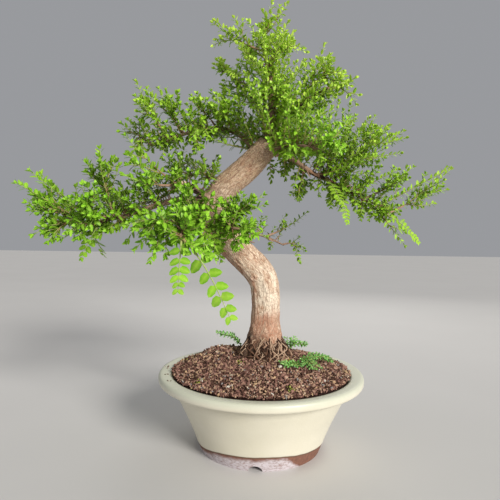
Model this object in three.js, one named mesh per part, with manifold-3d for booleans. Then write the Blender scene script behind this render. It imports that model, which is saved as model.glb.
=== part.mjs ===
// A myrtle bonsai in its round glazed pot, in millimetres, +Z up.
// The pot's axis is the Z axis, its foot stands on z = 0, and -Y is the front of the tree.
import * as THREE from "three";
import { OBB } from "three/addons/math/OBB.js";
import { mergeVertices } from "three/addons/utils/BufferGeometryUtils.js";
import Module from "manifold-3d";

const wasm = await Module();
wasm.setup();

// Driving dimensions of the pot
const GAP = 0.3;
const RIM_RADIUS = 150;
const RIM_TOP = 110;
const RIM_INNER_RADIUS = 130;
const FOOT_RADIUS = 88.5;
const GLAZE_EDGE = [93.3, 14];
const FOOT_WIDTH = 9;
const FOOT_HOLLOW = 7;
const FLOOR_TOP = 15;
const DRAIN_RADIUS = 14;
const NOTCH_RADIUS = 9.6;
const NOTCH_HEIGHT = 8.2;
const NOTCH_TURN = -0.09;
const NOTCH_COUNT = 3;
const ROUND_SIDES = 32;
// The body between its foot and its rim, outside and then inside: radius, height
const BODY_OUTSIDE = [[94.1, 14.6], [105.5, 43], [118.5, 69], [131.5, 95]];
const BODY_INSIDE = [[119, 86], [107.5, 62], [93, 34]];
const FLOOR_RADIUS = 80;

// Driving dimensions of the drain screen and the soil
const SCREEN_RADIUS = 24;
const SCREEN_THICKNESS = 1.6;
const SCREEN_OPENING = 4.4;
const SCREEN_OPENINGS = 6;
const SCREEN_RING = 14.5;
const SOIL_EDGE = 107.5;
const SOIL_MOUND = 25;
const SOIL_ROUNDING = 2.4;
const RIDGE = { x: -66, y: 30, height: 9.5, reach: 30 };

// Driving dimensions of the leaves and shoots
const LEAF_LENGTH = 13;
const LEAF_WIDTH = 7.8;
const LEAF_THICKNESS = 1;
const LEAF_FOLD = 0.7;
const LEAF_DROOP = 1.2;
const LEAF_ANGLE = 0.95;
const PAIR_SPACING = 18.2;
const STALK_WIDTH = 2.2;
const STEM_RADIUS = 1;
const STEM_BEND = 0.45;
const STEM_TWIST = 1;
const TWIG_RADIUS = 1.6;
const FORK_START = 4.5;
const FORK_CLEARANCE = 6.5;
// A leaf's outline from its near side round the tip to its far side: share of length, share of half width
const LEAF_OUTLINE = [[0.26, -0.8], [0.66, -0.92], [1, 0], [0.66, 0.92], [0.26, 0.8]];

// The trunk: points of its middle line, and its radius at each of them
const TRUNK_ROUTE = [
  [5, 0, 77], [5, 0, 117], [5, 0, 135], [6, 0, 155], [6, 0, 180], [6, 0, 215], [-2, 0, 250], [-34, 1, 285],
  [-66, 3, 316], [-77, 4, 348], [-60, 0, 376], [-24, -5, 408], [7, -6, 442],
];
const TRUNK_RADII = [24, 43, 36.5, 26.6, 21.3, 20.3, 21, 21.5, 20.5, 21, 19.5, 18.5, 16.5];
const KNEE_HOLLOW = { at: [-94, -14, 370], size: [9, 9, 7] };

// The branches: middle line, radius where it starts and radius at its tip
const LIMBS = {
  leader: {
    route: [[4, -5, 430], [7, -6, 470], [11, -6, 507], [5, -10, 544], [-3, -15, 575]],
    radii: [6.5, 2.2],
  },
  apex_left: { route: [[8, -5, 480], [-18, 12, 520], [-45, 20, 550]], radii: [3.2, 1.8] },
  apex_right: { route: [[10, -5, 477], [52, 0, 505], [90, 0, 527]], radii: [3.6, 1.8] },
  left_top: {
    route: [[-8, -4, 430], [-32, 15, 458], [-60, 28, 472], [-90, 28, 472], [-130, 16, 458], [-167, 0, 441]],
    radii: [4.6, 2],
  },
  left_low: {
    route: [[-70, 2, 355], [-100, -12, 361], [-138, -28, 355], [-190, -46, 335], [-240, -65, 321]],
    radii: [6.5, 2.2],
  },
  knee_stub: { route: [[-74, 0, 357], [-95, -8, 373], [-117, -15, 383], [-134, -20, 380]], radii: [7, 4] },
  knee_front: { route: [[-72, -8, 357], [-100, -40, 377], [-125, -66, 375]], radii: [3.4, 1.9] },
  right: {
    route: [[0, -2, 433], [36, 12, 429], [58, 22, 418], [78, 28, 406], [102, 32, 396], [124, 35, 387]],
    radii: [5, 2.6],
  },
  right_far: { route: [[92, 31, 400], [135, 48, 383], [178, 65, 361], [198, 75, 345]], radii: [3, 1.9] },
  right_up: { route: [[84, 29, 404], [118, 38, 420], [150, 45, 437]], radii: [2.8, 1.8] },
  right_front: { route: [[4, -10, 433], [40, -45, 435], [75, -70, 425]], radii: [3.4, 1.8] },
  front: { route: [[-70, -8, 350], [-88, -50, 343], [-100, -88, 323], [-106, -112, 307]], radii: [3.6, 1.9] },
  front_right: { route: [[-66, -8, 335], [-55, -45, 327], [-42, -72, 319]], radii: [3, 1.8] },
  back: { route: [[-42, 5, 297], [-10, 50, 311], [15, 85, 305], [38, 108, 295]], radii: [3, 1.8] },
  back_left: { route: [[-50, 5, 385], [-90, 50, 405], [-120, 85, 410]], radii: [3.4, 1.8] },
  back_right: { route: [[2, 2, 435], [30, 50, 445], [62, 90, 443]], radii: [3.4, 1.8] },
};

// The tips of the main roots, which leave the trunk above the soil, and a root's two radii
const ROOT_RADII = [9, 3];
const ROOT_TIPS = [[78, -20, 73], [20, -74, 71], [-62, -42, 75], [-50, 56, 73], [34, 70, 71]];

// The leafy sprays: the branch, how far along it the twig leaves, the tip of its main shoot,
// and then the tips of the shoots that fork from it
const SPRAYS = [
  ["left_low", 1, [-316, -80, 371], [-310, -40, 391]],
  ["left_low", 0.97, [-298, -90, 307], [-290, -52, 331]],
  ["left_low", 0.9, [-310, 6, 347], [-274, -8, 377]],
  ["left_low", 0.8, [-223, -60, 423], [-208, -20, 407]],
  ["left_low", 0.93, [-223, -126, 367]],
  ["left_low", 0.88, [-240, -78, 277], [-226, -34, 281]],
  ["left_low", 0.7, [-243, 45, 383], [-198, 58, 339]],
  ["left_low", 0.78, [-242, -120, 311]],
  ["left_top", 0.85, [-187, -8, 530], [-170, -52, 491]],
  ["left_top", 0.72, [-162, 34, 533], [-133, -25, 503]],
  ["left_top", 1, [-206, 24, 483], [-192, -16, 415]],
  ["left_top", 0.45, [-96, -20, 510]],
  ["left_top", 0.3, [-67, -45, 502], [-62, 30, 532]],
  ["left_top", 0.8, [-168, 70, 453]],
  ["left_top", 0.55, [-98, -62, 439]],
  ["knee_front", 0.85, [-185, -70, 439]],
  ["knee_front", 1, [-178, -104, 383]],
  ["knee_stub", 0.8, [-115, -62, 415]],
  ["knee_stub", 0.35, [-63, -42, 414], [-88, 4, 419]],
  ["leader", 1, [-75, -20, 611]],
  ["leader", 1, [0, -22, 621], [28, -32, 633]],
  ["leader", 0.93, [-30, 22, 607], [-24, 60, 571]],
  ["leader", 0.84, [-12, -64, 587]],
  ["leader", 0.9, [38, 16, 609], [50, -42, 569]],
  ["leader", 0.45, [18, -72, 513], [36, -58, 493]],
  ["leader", 0.5, [-18, -62, 499]],
  ["leader", 0.62, [22, 72, 545]],
  ["apex_right", 0.6, [88, 12, 595]],
  ["apex_right", 0.82, [89, -36, 561], [104, -52, 533]],
  ["apex_right", 1, [126, 22, 545], [130, -18, 501]],
  ["apex_left", 1, [-76, 32, 571], [-45, -28, 535]],
  ["right_up", 0.85, [172, 40, 497], [215, 20, 461]],
  ["right_up", 1, [192, 74, 489], [222, 56, 479]],
  ["right_far", 0.62, [236, 48, 421], [194, 8, 413]],
  ["right_far", 1, [315, 96, 425], [292, 104, 369]],
  ["right_far", 0.92, [258, 76, 303]],
  ["right_far", 0.8, [232, 118, 347]],
  ["right", 0.95, [128, 14, 331]],
  ["right", 0.78, [112, -16, 359]],
  ["right_front", 1, [86, -112, 425], [108, -84, 463]],
  ["right", 0.5, [62, 58, 371]],
  ["back_right", 0.4, [-38, 70, 499]],
  ["front", 0.92, [-104, -136, 243]],
  ["front", 1, [-42, -136, 211]],
  ["front", 0.8, [-168, -130, 319]],
  ["front", 0.66, [-166, -92, 291], [-142, -112, 277]],
  ["front_right", 0.85, [-32, -62, 365], [0, -72, 351]],
  ["front_right", 1, [-4, -94, 323], [-32, -104, 295]],
  ["front", 0.45, [-58, -60, 277]],
  ["back", 0.62, [78, 112, 351], [36, 74, 333]],
  ["back", 1, [76, 134, 291], [66, 98, 267]],
  ["back_left", 1, [-168, 116, 437], [-112, 126, 463]],
  ["back_right", 1, [104, 122, 475], [52, 132, 489]],
];

// The seedlings: where each root goes into the soil, the tip of its main shoot and those of its forks
const SEEDLINGS = {
  seedling_left: [[-30, 22], [-66, 16, 161]],
  seedling_back: [[44, 26], [70, 30, 142], [48, 50, 146]],
  seedling_front: [[58, -24], [74, -58, 129], [102, -8, 126], [28, -54, 134]],
};
const SEEDLING_DEPTH = 8;
const SEEDLING_SCALE = 0.62;
const SEEDLING_BARE = 0.34;

const vector = (point) => new THREE.Vector3(...point);
const UP = new THREE.Vector3(0, 0, 1);
const CROWN_HEART = new THREE.Vector3(0, 90, 295);

function paint(color, roughness) {
  return new THREE.MeshStandardMaterial({ color, roughness, metalness: 0 });
}

const glaze = paint(0xe4dfc4, 0.25);
const bark = paint(0xb08f6f, 0.9);
const soilGrains = paint(0x4f3630, 0.95);
const plastic = paint(0x24262a, 0.7);
const foliage = paint(0x6fae2e, 0.55);
const seedlingGreen = paint(0x4f9d52, 0.6);

// A closed three.js geometry as a solid that can be joined and cut
function solidOf(geometry) {
  const bare = geometry.clone();
  bare.deleteAttribute("normal");
  bare.deleteAttribute("uv");
  const merged = mergeVertices(bare, 1e-4);
  return new wasm.Manifold(new wasm.Mesh({
    numProp: 3,
    vertProperties: merged.attributes.position.array,
    triVerts: new Uint32Array(merged.index.array),
  }));
}

// A solid as a three.js geometry
function geometryOf(solid) {
  const mesh = solid.getMesh();
  const geometry = new THREE.BufferGeometry();
  geometry.setAttribute("position", new THREE.BufferAttribute(mesh.vertProperties, 3));
  geometry.setIndex(new THREE.BufferAttribute(mesh.triVerts, 1));
  geometry.computeVertexNormals();
  return geometry;
}

// A solid of revolution about Z, from [radius, height] pairs
function turned(profile, sides) {
  const points = profile.map(([radius, height]) => new THREE.Vector2(radius, height));
  return new THREE.LatheGeometry(points, sides).rotateX(Math.PI / 2);
}

// The pot's wall and floor, turned, with its drain hole and the notches of its foot
function potSolid() {
  const bodyCurve = new THREE.SplineCurve(BODY_OUTSIDE.map((point) => new THREE.Vector2(...point)));
  const outside = bodyCurve.getPoints(4).map((point) => [point.x, point.y]);
  const profile = [
    [FOOT_RADIUS, 0],
    GLAZE_EDGE,
    ...outside,
    [RIM_RADIUS - 3.5, RIM_TOP - 12],
    [RIM_RADIUS, RIM_TOP - 8.5],
    [RIM_RADIUS, RIM_TOP - 4],
    [RIM_RADIUS - 3, RIM_TOP],
    [RIM_INNER_RADIUS + 2.5, RIM_TOP],
    ...innerWall(0),
    [DRAIN_RADIUS, FLOOR_TOP],
    [DRAIN_RADIUS, FOOT_HOLLOW],
    [FOOT_RADIUS - FOOT_WIDTH - 2, FOOT_HOLLOW],
    [FOOT_RADIUS - FOOT_WIDTH, 0],
  ];
  profile.push(profile[0]);
  let pot = solidOf(turned(profile, ROUND_SIDES));
  for (let i = 0; i < NOTCH_COUNT; i += 1) {
    const angle = NOTCH_TURN - Math.PI / 2 + (i * 2 * Math.PI) / NOTCH_COUNT;
    const notch = new THREE.CylinderGeometry(1, 1, 4 * FOOT_WIDTH, 12)
      .scale(NOTCH_RADIUS, 1, NOTCH_HEIGHT)
      .translate(0, -(FOOT_RADIUS - FOOT_WIDTH / 2), 0)
      .rotateZ(angle + Math.PI / 2);
    pot = pot.subtract(solidOf(notch));
  }
  return pot;
}

// The inside of the pot's wall from the rim down to the floor, drawn in by a clearance
function innerWall(clearance) {
  return [
    [RIM_INNER_RADIUS - clearance, SOIL_EDGE],
    ...BODY_INSIDE.map(([radius, height]) => [radius - clearance, height]),
    [FLOOR_RADIUS - clearance, FLOOR_TOP + 1.5 + clearance],
  ];
}

// A round plastic screen over the drain hole, with a ring of openings
function screenSolid() {
  const plate = new THREE.Shape(roundOutline(0, 0, SCREEN_RADIUS, 20));
  plate.holes.push(new THREE.Path(roundOutline(0, 0, SCREEN_OPENING, 6)));
  for (let i = 0; i < SCREEN_OPENINGS; i += 1) {
    const angle = (2 * Math.PI * i) / SCREEN_OPENINGS + 0.12;
    const x = SCREEN_RING * Math.cos(angle);
    const y = SCREEN_RING * Math.sin(angle);
    plate.holes.push(new THREE.Path(roundOutline(x, y, SCREEN_OPENING, 6)));
  }
  const geometry = new THREE.ExtrudeGeometry(plate, { depth: SCREEN_THICKNESS, bevelEnabled: false });
  return solidOf(geometry.translate(0, 0, FLOOR_TOP + GAP));
}

// The corners of a round outline, without the doubled end point
function roundOutline(x, y, radius, sides) {
  return new THREE.EllipseCurve(x, y, radius, radius).getPoints(sides).slice(0, -1);
}

// Height of the soil's surface: a mound round the trunk with a ridge behind it on the left
function soilHeight(x, y) {
  const mound = SOIL_MOUND * (1 - (Math.hypot(x, y) / RIM_INNER_RADIUS) ** SOIL_ROUNDING);
  const offset = (x - RIDGE.x) ** 2 + (y - RIDGE.y) ** 2;
  const ridge = RIDGE.height * Math.exp(-offset / RIDGE.reach ** 2);
  return SOIL_EDGE + Math.max(0, mound) + ridge * Math.min(1, Math.max(0, mound / 8));
}

// The coarse lumps of the soil's surface
function soilLumps(x, y) {
  return 0.9 * Math.sin(0.31 * x + 2 * Math.sin(0.11 * y)) * Math.sin(0.27 * y + 2 * Math.sin(0.13 * x));
}

// The soil fills the pot, with room for the screen, the root crown and the seedlings' stems
function soilSolid(cutters) {
  const screenRoom = FLOOR_TOP + 2 * GAP + SCREEN_THICKNESS;
  const wall = innerWall(GAP + 0.1).reverse();
  const rings = [114, 94, 74, 56, 40, 0];
  const profile = [
    [0, screenRoom],
    [SCREEN_RADIUS + 2 * GAP, screenRoom],
    [SCREEN_RADIUS + 2 * GAP, FLOOR_TOP + GAP + 0.1],
    ...wall,
    ...rings.map((radius) => [radius, RIM_TOP]),
  ];
  const geometry = turned(profile, ROUND_SIDES);
  const position = geometry.attributes.position;
  for (let i = 0; i < position.count; i += 1) {
    if (position.getZ(i) < RIM_TOP - 0.01) continue;
    const x = position.getX(i);
    const y = position.getY(i);
    position.setZ(i, soilHeight(x, y) + soilLumps(x, y));
  }
  let soil = solidOf(geometry);
  for (const cutter of cutters) soil = soil.subtract(cutter);
  return soil;
}

// A rounded limb: a closed cylinder bent onto a curve, with its radius by a formula of place and angle
function limbSolid(curve, sides, steps, radiusAt, clearance = 0) {
  const geometry = new THREE.CylinderGeometry(1, 1, 1, sides, steps);
  const frames = curve.computeFrenetFrames(steps);
  const position = geometry.attributes.position;
  for (let i = 0; i < position.count; i += 1) {
    const step = Math.round((position.getY(i) + 0.5) * steps);
    const angle = Math.atan2(position.getZ(i), position.getX(i));
    const share = Math.hypot(position.getX(i), position.getZ(i));
    const reach = share * (radiusAt(step / steps, angle) + clearance);
    const point = curve.getPointAt(step / steps);
    point.addScaledVector(frames.normals[step], reach * Math.cos(angle));
    point.addScaledVector(frames.binormals[step], -reach * Math.sin(angle));
    if (step === 0) point.addScaledVector(frames.tangents[step], -clearance);
    if (step === steps) point.addScaledVector(frames.tangents[step], clearance);
    position.setXYZ(i, point.x, point.y, point.z);
  }
  return solidOf(geometry);
}

function routeCurve(points) {
  return new THREE.CatmullRomCurve3(points.map(vector), false, "catmullrom", 0.5);
}

// A value from a list spread evenly along a curve's own parameter, at a share of the curve's length
function spread(values, curve, share) {
  const place = curve.getUtoTmapping(share) * (values.length - 1);
  const index = Math.min(Math.floor(place), values.length - 2);
  return THREE.MathUtils.lerp(values[index], values[index + 1], place - index);
}

const trunkCurve = routeCurve(TRUNK_ROUTE);

// The trunk's radius: its taper, the root flare's lobes near the soil and the flutes of the bark
function trunkRadius(share, angle) {
  const radius = spread(TRUNK_RADII, trunkCurve, share);
  const flare = Math.max(0, 1 - share / 0.26);
  const lobes = 0.22 * flare * Math.cos(5 * angle + 0.6);
  const flutes = 0.035 * Math.cos(3 * angle + 9 * share) + 0.025 * Math.cos(5 * angle - 14 * share);
  return radius * (1 + lobes + flutes);
}

function rootCurve(tip) {
  const [x, y, z] = tip;
  const shoulder = [0.1 * x + 5, 0.1 * y, 152];
  return routeCurve([shoulder, [0.4 * x + 4, 0.4 * y, 134], [0.66 * x + 2, 0.66 * y, 112], [x, y, z]]);
}

// The trunk with its main roots
function trunkSolid(clearance) {
  let solid = limbSolid(trunkCurve, 15, 24, trunkRadius, clearance);
  for (const tip of ROOT_TIPS) {
    const taper = (share) => THREE.MathUtils.lerp(...ROOT_RADII, share);
    solid = solid.add(limbSolid(rootCurve(tip), 4, 3, taper, clearance));
  }
  return solid;
}

// Boxes round what is already placed, so that nothing new is put through it
const taken = [];

function axisBox(start, end, halfWidth, halfDepth, sideways) {
  const along = end.clone().sub(start);
  const length = along.length();
  along.normalize();
  const side = sideways.clone().addScaledVector(along, -sideways.dot(along)).normalize();
  const rise = new THREE.Vector3().crossVectors(along, side);
  const middle = start.clone().add(end).multiplyScalar(0.5);
  const half = new THREE.Vector3(length / 2, halfWidth, halfDepth);
  const turn = new THREE.Matrix4().makeBasis(along, side, rise);
  return new OBB(middle, half, new THREE.Matrix3().setFromMatrix4(turn));
}

// Boxes along a stretch of a curve
function boxesAlong(curve, from, to, radiusAt, count) {
  const boxes = [];
  for (let i = 0; i < count; i += 1) {
    const start = curve.getPointAt(THREE.MathUtils.lerp(from, to, i / count));
    const end = curve.getPointAt(THREE.MathUtils.lerp(from, to, (i + 1) / count));
    const tangent = end.clone().sub(start).normalize();
    const radius = radiusAt(THREE.MathUtils.lerp(from, to, (i + 0.5) / count));
    boxes.push(axisBox(start, end, radius, radius, crosswise(tangent, UP)));
  }
  return boxes;
}

// A direction square to a tangent and to a given upward direction
function crosswise(tangent, upward) {
  const side = new THREE.Vector3().crossVectors(tangent, upward);
  if (side.lengthSq() < 1e-3) side.set(1, 0, 0);
  return side.normalize();
}

function isClear(boxes, owner) {
  return boxes.every((box) => taken.every((other) => other.owner === owner || !other.box.intersectsOBB(box)));
}

function isAboveSoil(point) {
  return point.z > soilHeight(point.x, point.y) + 3;
}

function take(boxes, owner) {
  for (const box of boxes) taken.push({ box, owner });
}

// The curve of one shoot: it rises out of its twig, or hangs from it, and may be bent aside
function shootCurve(start, tip, bend) {
  const along = tip.clone().sub(start);
  const length = along.length();
  const sag = along.z < 0 ? 0.2 : -0.12;
  const side = crosswise(along.clone().normalize(), UP);
  const middle = start.clone().add(tip).multiplyScalar(0.5);
  middle.addScaledVector(UP, sag * length).addScaledVector(side, bend * length);
  return new THREE.QuadraticBezierCurve3(start, middle, tip);
}

// Bends a new shoot aside until its stem is clear of what is there, and takes its place
function clearShoot(start, tip, owner, clearFrom) {
  for (let attempt = 0; attempt < 13; attempt += 1) {
    const bend = 0.035 * Math.ceil(attempt / 2) * (attempt % 2 ? 1 : -1);
    const curve = shootCurve(start, tip, bend);
    const from = Math.min(0.9, clearFrom / curve.getLength());
    const boxes = boxesAlong(curve, from, 1, () => STEM_RADIUS + GAP, 6);
    if (isClear(boxes, owner)) {
      take(boxes, owner);
      return curve;
    }
  }
  throw new Error(`no clear way to ${tip.toArray()}`);
}

// The way that a spray's leaves face: out of the crown and a little up, square to the shoot
function outOfCrown(curve) {
  const outward = curve.getPointAt(0.5).sub(CROWN_HEART).normalize().addScaledVector(UP, 0.35);
  return outward.projectOnPlane(chordOf(curve));
}

// The way that a seedling's leaves face: up, and a little back over the shoot's root
function upFromSoil(curve) {
  return chordOf(curve).negate().setZ(0).setLength(0.5).add(UP);
}

function chordOf(curve) {
  return curve.getPointAt(1).sub(curve.getPointAt(0)).normalize();
}

// The frame of a shoot at a share of its length, rolled about its stem
function shootFrame({ curve, facingOf }, share, roll) {
  const origin = curve.getPointAt(share);
  const tangent = curve.getTangentAt(share);
  const side = crosswise(tangent, facingOf(curve)).applyAxisAngle(tangent, roll);
  const rise = new THREE.Vector3().crossVectors(side, tangent);
  return { origin, tangent, side, rise };
}

// The pairs of leaves on a shoot: their places, sizes and roll about the stem
function pairPlan(length, from, scale, seed) {
  const leafy = (1 - from) * length;
  const count = Math.max(2, Math.round((leafy - 4) / (PAIR_SPACING * scale)));
  return Array.from({ length: count }, (_, k) => ({
    share: from + (1 - from) * ((k + 0.55) / (count + 0.25)),
    size: scale * (1 - 0.38 * (k / count) ** 2) * (k === 0 ? 0.85 : 1),
    roll: 0.3 * Math.sin(2.4 * k + seed),
  }));
}

// A leaf's axes, from the stem's frame: outwards along the leaf, across it and out of its face
function leafAxes(frame, hand, lift) {
  const outward = frame.side.clone().multiplyScalar(hand * Math.sin(LEAF_ANGLE));
  outward.addScaledVector(frame.tangent, Math.cos(LEAF_ANGLE));
  outward.applyAxisAngle(frame.tangent, -hand * lift);
  const face = frame.rise.clone().applyAxisAngle(frame.tangent, -hand * lift);
  const across = new THREE.Vector3().crossVectors(face, outward).multiplyScalar(hand);
  return { outward, across, face };
}

// Finds how far a leaf must lift or drop to be clear, or null where it has no room to grow
function clearLeaf(frame, hand, size, shoot) {
  for (const lift of [0.25, 0.6, -0.2, 0.95, -0.6]) {
    const axes = leafAxes(frame, hand, lift);
    const length = LEAF_LENGTH * size;
    const start = frame.origin.clone().addScaledVector(axes.outward, 0.15 * length);
    const end = frame.origin.clone().addScaledVector(axes.outward, length + 1.5);
    const box = axisBox(start, end, 0.48 * LEAF_WIDTH * size, 1.3, axes.across);
    if (isAboveSoil(end) && isClear([box], shoot)) return { axes, box };
  }
  return null;
}

// The mesh of one spray: three-sided stems whose side faces are drawn out into blades or forks
class Spray {
  vertices = [];
  triangles = [];

  addVertex(point) {
    return this.vertices.push(point.x, point.y, point.z) / 3 - 1;
  }

  vertex(index) {
    return new THREE.Vector3().fromArray(this.vertices, 3 * index);
  }

  // The corners of a stem at a share of its length: its ridge, its right and its left
  addRing(shoot, share, roll, radius) {
    const frame = shootFrame(shoot, share, roll);
    return [90, -30, 210].map((degrees) => {
      const angle = THREE.MathUtils.degToRad(degrees);
      const corner = frame.origin.clone().addScaledVector(frame.side, radius * Math.cos(angle));
      return this.addVertex(corner.addScaledVector(frame.rise, radius * Math.sin(angle)));
    });
  }

  joinRings(near, far, sides) {
    for (const side of sides) {
      const next = (side + 1) % 3;
      this.triangles.push(near[next], far[next], far[side], near[next], far[side], near[side]);
    }
  }

  // Carries a stem on to its next ring, with rings between where it bends or twists
  growStem(shoot, last, share, roll, radius) {
    const turn = shoot.curve.getTangentAt(last.share).angleTo(shoot.curve.getTangentAt(share));
    const steps = 1 + Math.floor(turn / STEM_BEND + Math.abs(roll - last.roll) / STEM_TWIST);
    let ring = last.ring;
    for (let k = 1; k <= steps; k += 1) {
      const place = THREE.MathUtils.lerp(last.share, share, k / steps);
      const next = this.addRing(shoot, place, THREE.MathUtils.lerp(last.roll, roll, k / steps), radius);
      this.joinRings(ring, next, [0, 1, 2]);
      ring = next;
    }
    return ring;
  }

  // A blade in place of the side face between two rings
  growBlade(near, far, hand, axes, size) {
    const edge = hand > 0 ? 1 : 2;
    const root = new THREE.Vector3();
    for (const corner of [near[0], near[edge], far[0], far[edge]]) {
      root.addScaledVector(this.vertex(corner), 0.25);
    }
    const place = (along, across, rise) => this.addVertex(root.clone()
      .addScaledVector(axes.outward, along * LEAF_LENGTH * size)
      .addScaledVector(axes.across, across * 0.5 * LEAF_WIDTH * size)
      .addScaledVector(axes.face, rise));
    const outline = LEAF_OUTLINE.map(([along, across]) => {
      const rise = LEAF_FOLD * Math.abs(across) - LEAF_DROOP * size * along * along;
      return place(along, across, rise);
    });
    const middleRise = -0.2 * LEAF_DROOP * size;
    const top = place(0.46, 0, middleRise + LEAF_THICKNESS / 2);
    const bottom = place(0.46, 0, middleRise - LEAF_THICKNESS / 2);
    const upper = [near[0], ...outline, far[0]];
    const lower = [near[edge], ...outline, far[edge]];
    const push = (a, b, c) => this.triangles.push(...(hand > 0 ? [a, b, c] : [a, c, b]));
    upper.forEach((vertex, k) => push(top, vertex, upper[(k + 1) % upper.length]));
    lower.forEach((vertex, k) => push(bottom, lower[(k + 1) % lower.length], vertex));
    push(near[edge], outline[0], near[0]);
    push(far[0], outline.at(-1), far[edge]);
  }

  // Weaves the faces between a four-cornered opening in a stem and the first ring of its fork
  bridge(opening, ring) {
    const turned = (loop, by) => loop.map((_, k) => loop[(k + by) % loop.length]);
    const spans = (ways) => ways.reduce((sum, [a, b]) => sum + this.vertex(a).distanceTo(this.vertex(b)), 0);
    const starts = [0, 1, 2, 3].map((by) => turned(opening, by));
    const plans = starts.flatMap((loop) => [0, 1, 2].map((by) => [...loop, ...turned(ring, by)]));
    const reach = ([a, b, c, d, e, f, g]) => spans([[a, e], [b, e], [b, f], [c, f], [c, g], [d, g], [d, e]]);
    plans.sort((first, second) => reach(first) - reach(second));
    const [a, b, c, d, e, f, g] = plans[0];
    this.triangles.push(a, b, e, b, f, e, b, c, f, c, g, f, c, d, g, d, e, g, d, a, e);
  }

  growLeaf(shoot, pair, near, far, hand) {
    const frame = shootFrame(shoot, pair.share, pair.roll);
    const found = clearLeaf(frame, hand, pair.size, shoot);
    if (found) {
      take([found.box], shoot);
      this.growBlade(near, far, hand, found.axes, pair.size);
    } else {
      this.joinRings(near, far, [hand > 0 ? 0 : 2]);
    }
  }

  growFork(fork, near, far) {
    const opening = fork.hand > 0 ? [near[1], far[1], far[0], near[0]] : [near[0], far[0], far[2], near[2]];
    const first = this.addRing(fork, fork.from, fork.pairs[0].roll, STEM_RADIUS);
    this.bridge(opening, first);
    this.growShoot(fork, first);
  }

  // One shoot from its first ring to its bud, with its pairs of leaves and its forks
  growShoot(shoot, first) {
    const half = STALK_WIDTH / 2 / shoot.curve.getLength();
    let last = { ring: first, share: shoot.from, roll: shoot.pairs[0].roll };
    for (const [k, pair] of shoot.pairs.entries()) {
      const radius = STEM_RADIUS * (1 - 0.25 * pair.share);
      const near = this.growStem(shoot, last, pair.share - half, pair.roll, radius);
      const far = this.addRing(shoot, pair.share + half, pair.roll, radius);
      this.joinRings(near, far, [1]);
      for (const hand of [1, -1]) {
        const fork = shoot.forks.find((other) => other.pair === k && other.hand === hand);
        if (fork) this.growFork(fork, near, far);
        else this.growLeaf(shoot, pair, near, far, hand);
      }
      last = { ring: far, share: pair.share + half, roll: pair.roll };
    }
    const bud = this.addVertex(shoot.curve.getPointAt(1));
    for (const side of [0, 1, 2]) this.triangles.push(last.ring[(side + 1) % 3], bud, last.ring[side]);
  }
}

function spraySolid(shoot) {
  const spray = new Spray();
  const first = spray.addRing(shoot, shoot.from, shoot.pairs[0].roll, STEM_RADIUS);
  spray.triangles.push(first[1], first[0], first[2]);
  spray.growShoot(shoot, first);
  return new wasm.Manifold(new wasm.Mesh({
    numProp: 3,
    vertProperties: new Float32Array(spray.vertices),
    triVerts: new Uint32Array(spray.triangles),
  }));
}

// Plans the fork at one pair of a main shoot: the pair is rolled until one side faces the fork's tip
function planFork(main, index, tip, scale, seed) {
  const pair = main.pairs[index];
  const { origin, side, rise } = shootFrame(main, pair.share, pair.roll);
  const towards = vector(tip).sub(origin);
  const hand = Math.sign(towards.dot(side));
  pair.roll -= Math.atan2(hand * towards.dot(rise), hand * towards.dot(side));
  const fork = { pair: index, hand, facingOf: main.facingOf, forks: [] };
  fork.curve = clearShoot(origin, vector(tip), fork, FORK_CLEARANCE);
  const length = fork.curve.getLength();
  fork.from = FORK_START / length;
  fork.pairs = pairPlan(length, FORK_CLEARANCE / length, scale, seed);
  return fork;
}

// Plans a main shoot and its forks before any leaf grows
function planShoots(shoot, leafyFrom, forkTips, scale, seed) {
  shoot.pairs = pairPlan(shoot.curve.getLength(), leafyFrom, scale, seed);
  shoot.forks = forkTips.map((tip, k) => planFork(shoot, k, tip, scale, seed + k + 1));
  return shoot;
}

// Plans a spray: a woody twig leaves the branch, and the leafy shoots go on from it
function planSpray([limbName, at, tip, ...forkTips], index) {
  const start = limbCurves[limbName].getPointAt(Math.min(at, 0.995));
  const limbRadius = THREE.MathUtils.lerp(...LIMBS[limbName].radii, at);
  const shoot = { name: `${limbName}_spray_${index + 1}`, facingOf: outOfCrown };
  shoot.curve = clearShoot(start, vector(tip), shoot, limbRadius + 8);
  const length = shoot.curve.getLength();
  shoot.twigShare = Math.min(0.5, Math.max(limbRadius + 7, 0.26 * length) / length);
  shoot.from = shoot.twigShare + GAP / length;
  return planShoots(shoot, shoot.from, forkTips, 1, index);
}

function twigSolid({ curve, twigShare }) {
  const twig = new THREE.QuadraticBezierCurve3(...[0, 0.5, 1].map((k) => curve.getPointAt(k * twigShare)));
  return limbSolid(twig, 3, 1, (share) => THREE.MathUtils.lerp(TWIG_RADIUS + 0.5, TWIG_RADIUS, share));
}

// Plans a seedling: a stem that stands in a hole in the soil, and arches over to its tip
function planSeedling([name, [root, tip, ...forkTips]], index) {
  const ground = soilHeight(...root);
  const foot = new THREE.Vector3(...root, ground - SEEDLING_DEPTH);
  const collar = new THREE.Vector3(...root, ground + 3);
  const neck = new THREE.Vector3(...root, ground + 8);
  const bend = vector(tip).lerp(neck, 0.65).setZ((tip[2] + neck.z) / 2 + 3);
  const curve = new THREE.CatmullRomCurve3([foot, collar, neck, bend, vector(tip)]);
  const shoot = { name, curve, from: 0, facingOf: upFromSoil };
  return planShoots(shoot, SEEDLING_BARE, forkTips, SEEDLING_SCALE, index);
}

function seedlingHole([root]) {
  const depth = SEEDLING_DEPTH + GAP;
  const hole = new THREE.CylinderGeometry(STEM_RADIUS + 3 * GAP, STEM_RADIUS + 3 * GAP, depth + 6, 6);
  const middle = soilHeight(...root) - depth + (depth + 6) / 2;
  return solidOf(hole.rotateX(Math.PI / 2).translate(...root, middle));
}

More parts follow.
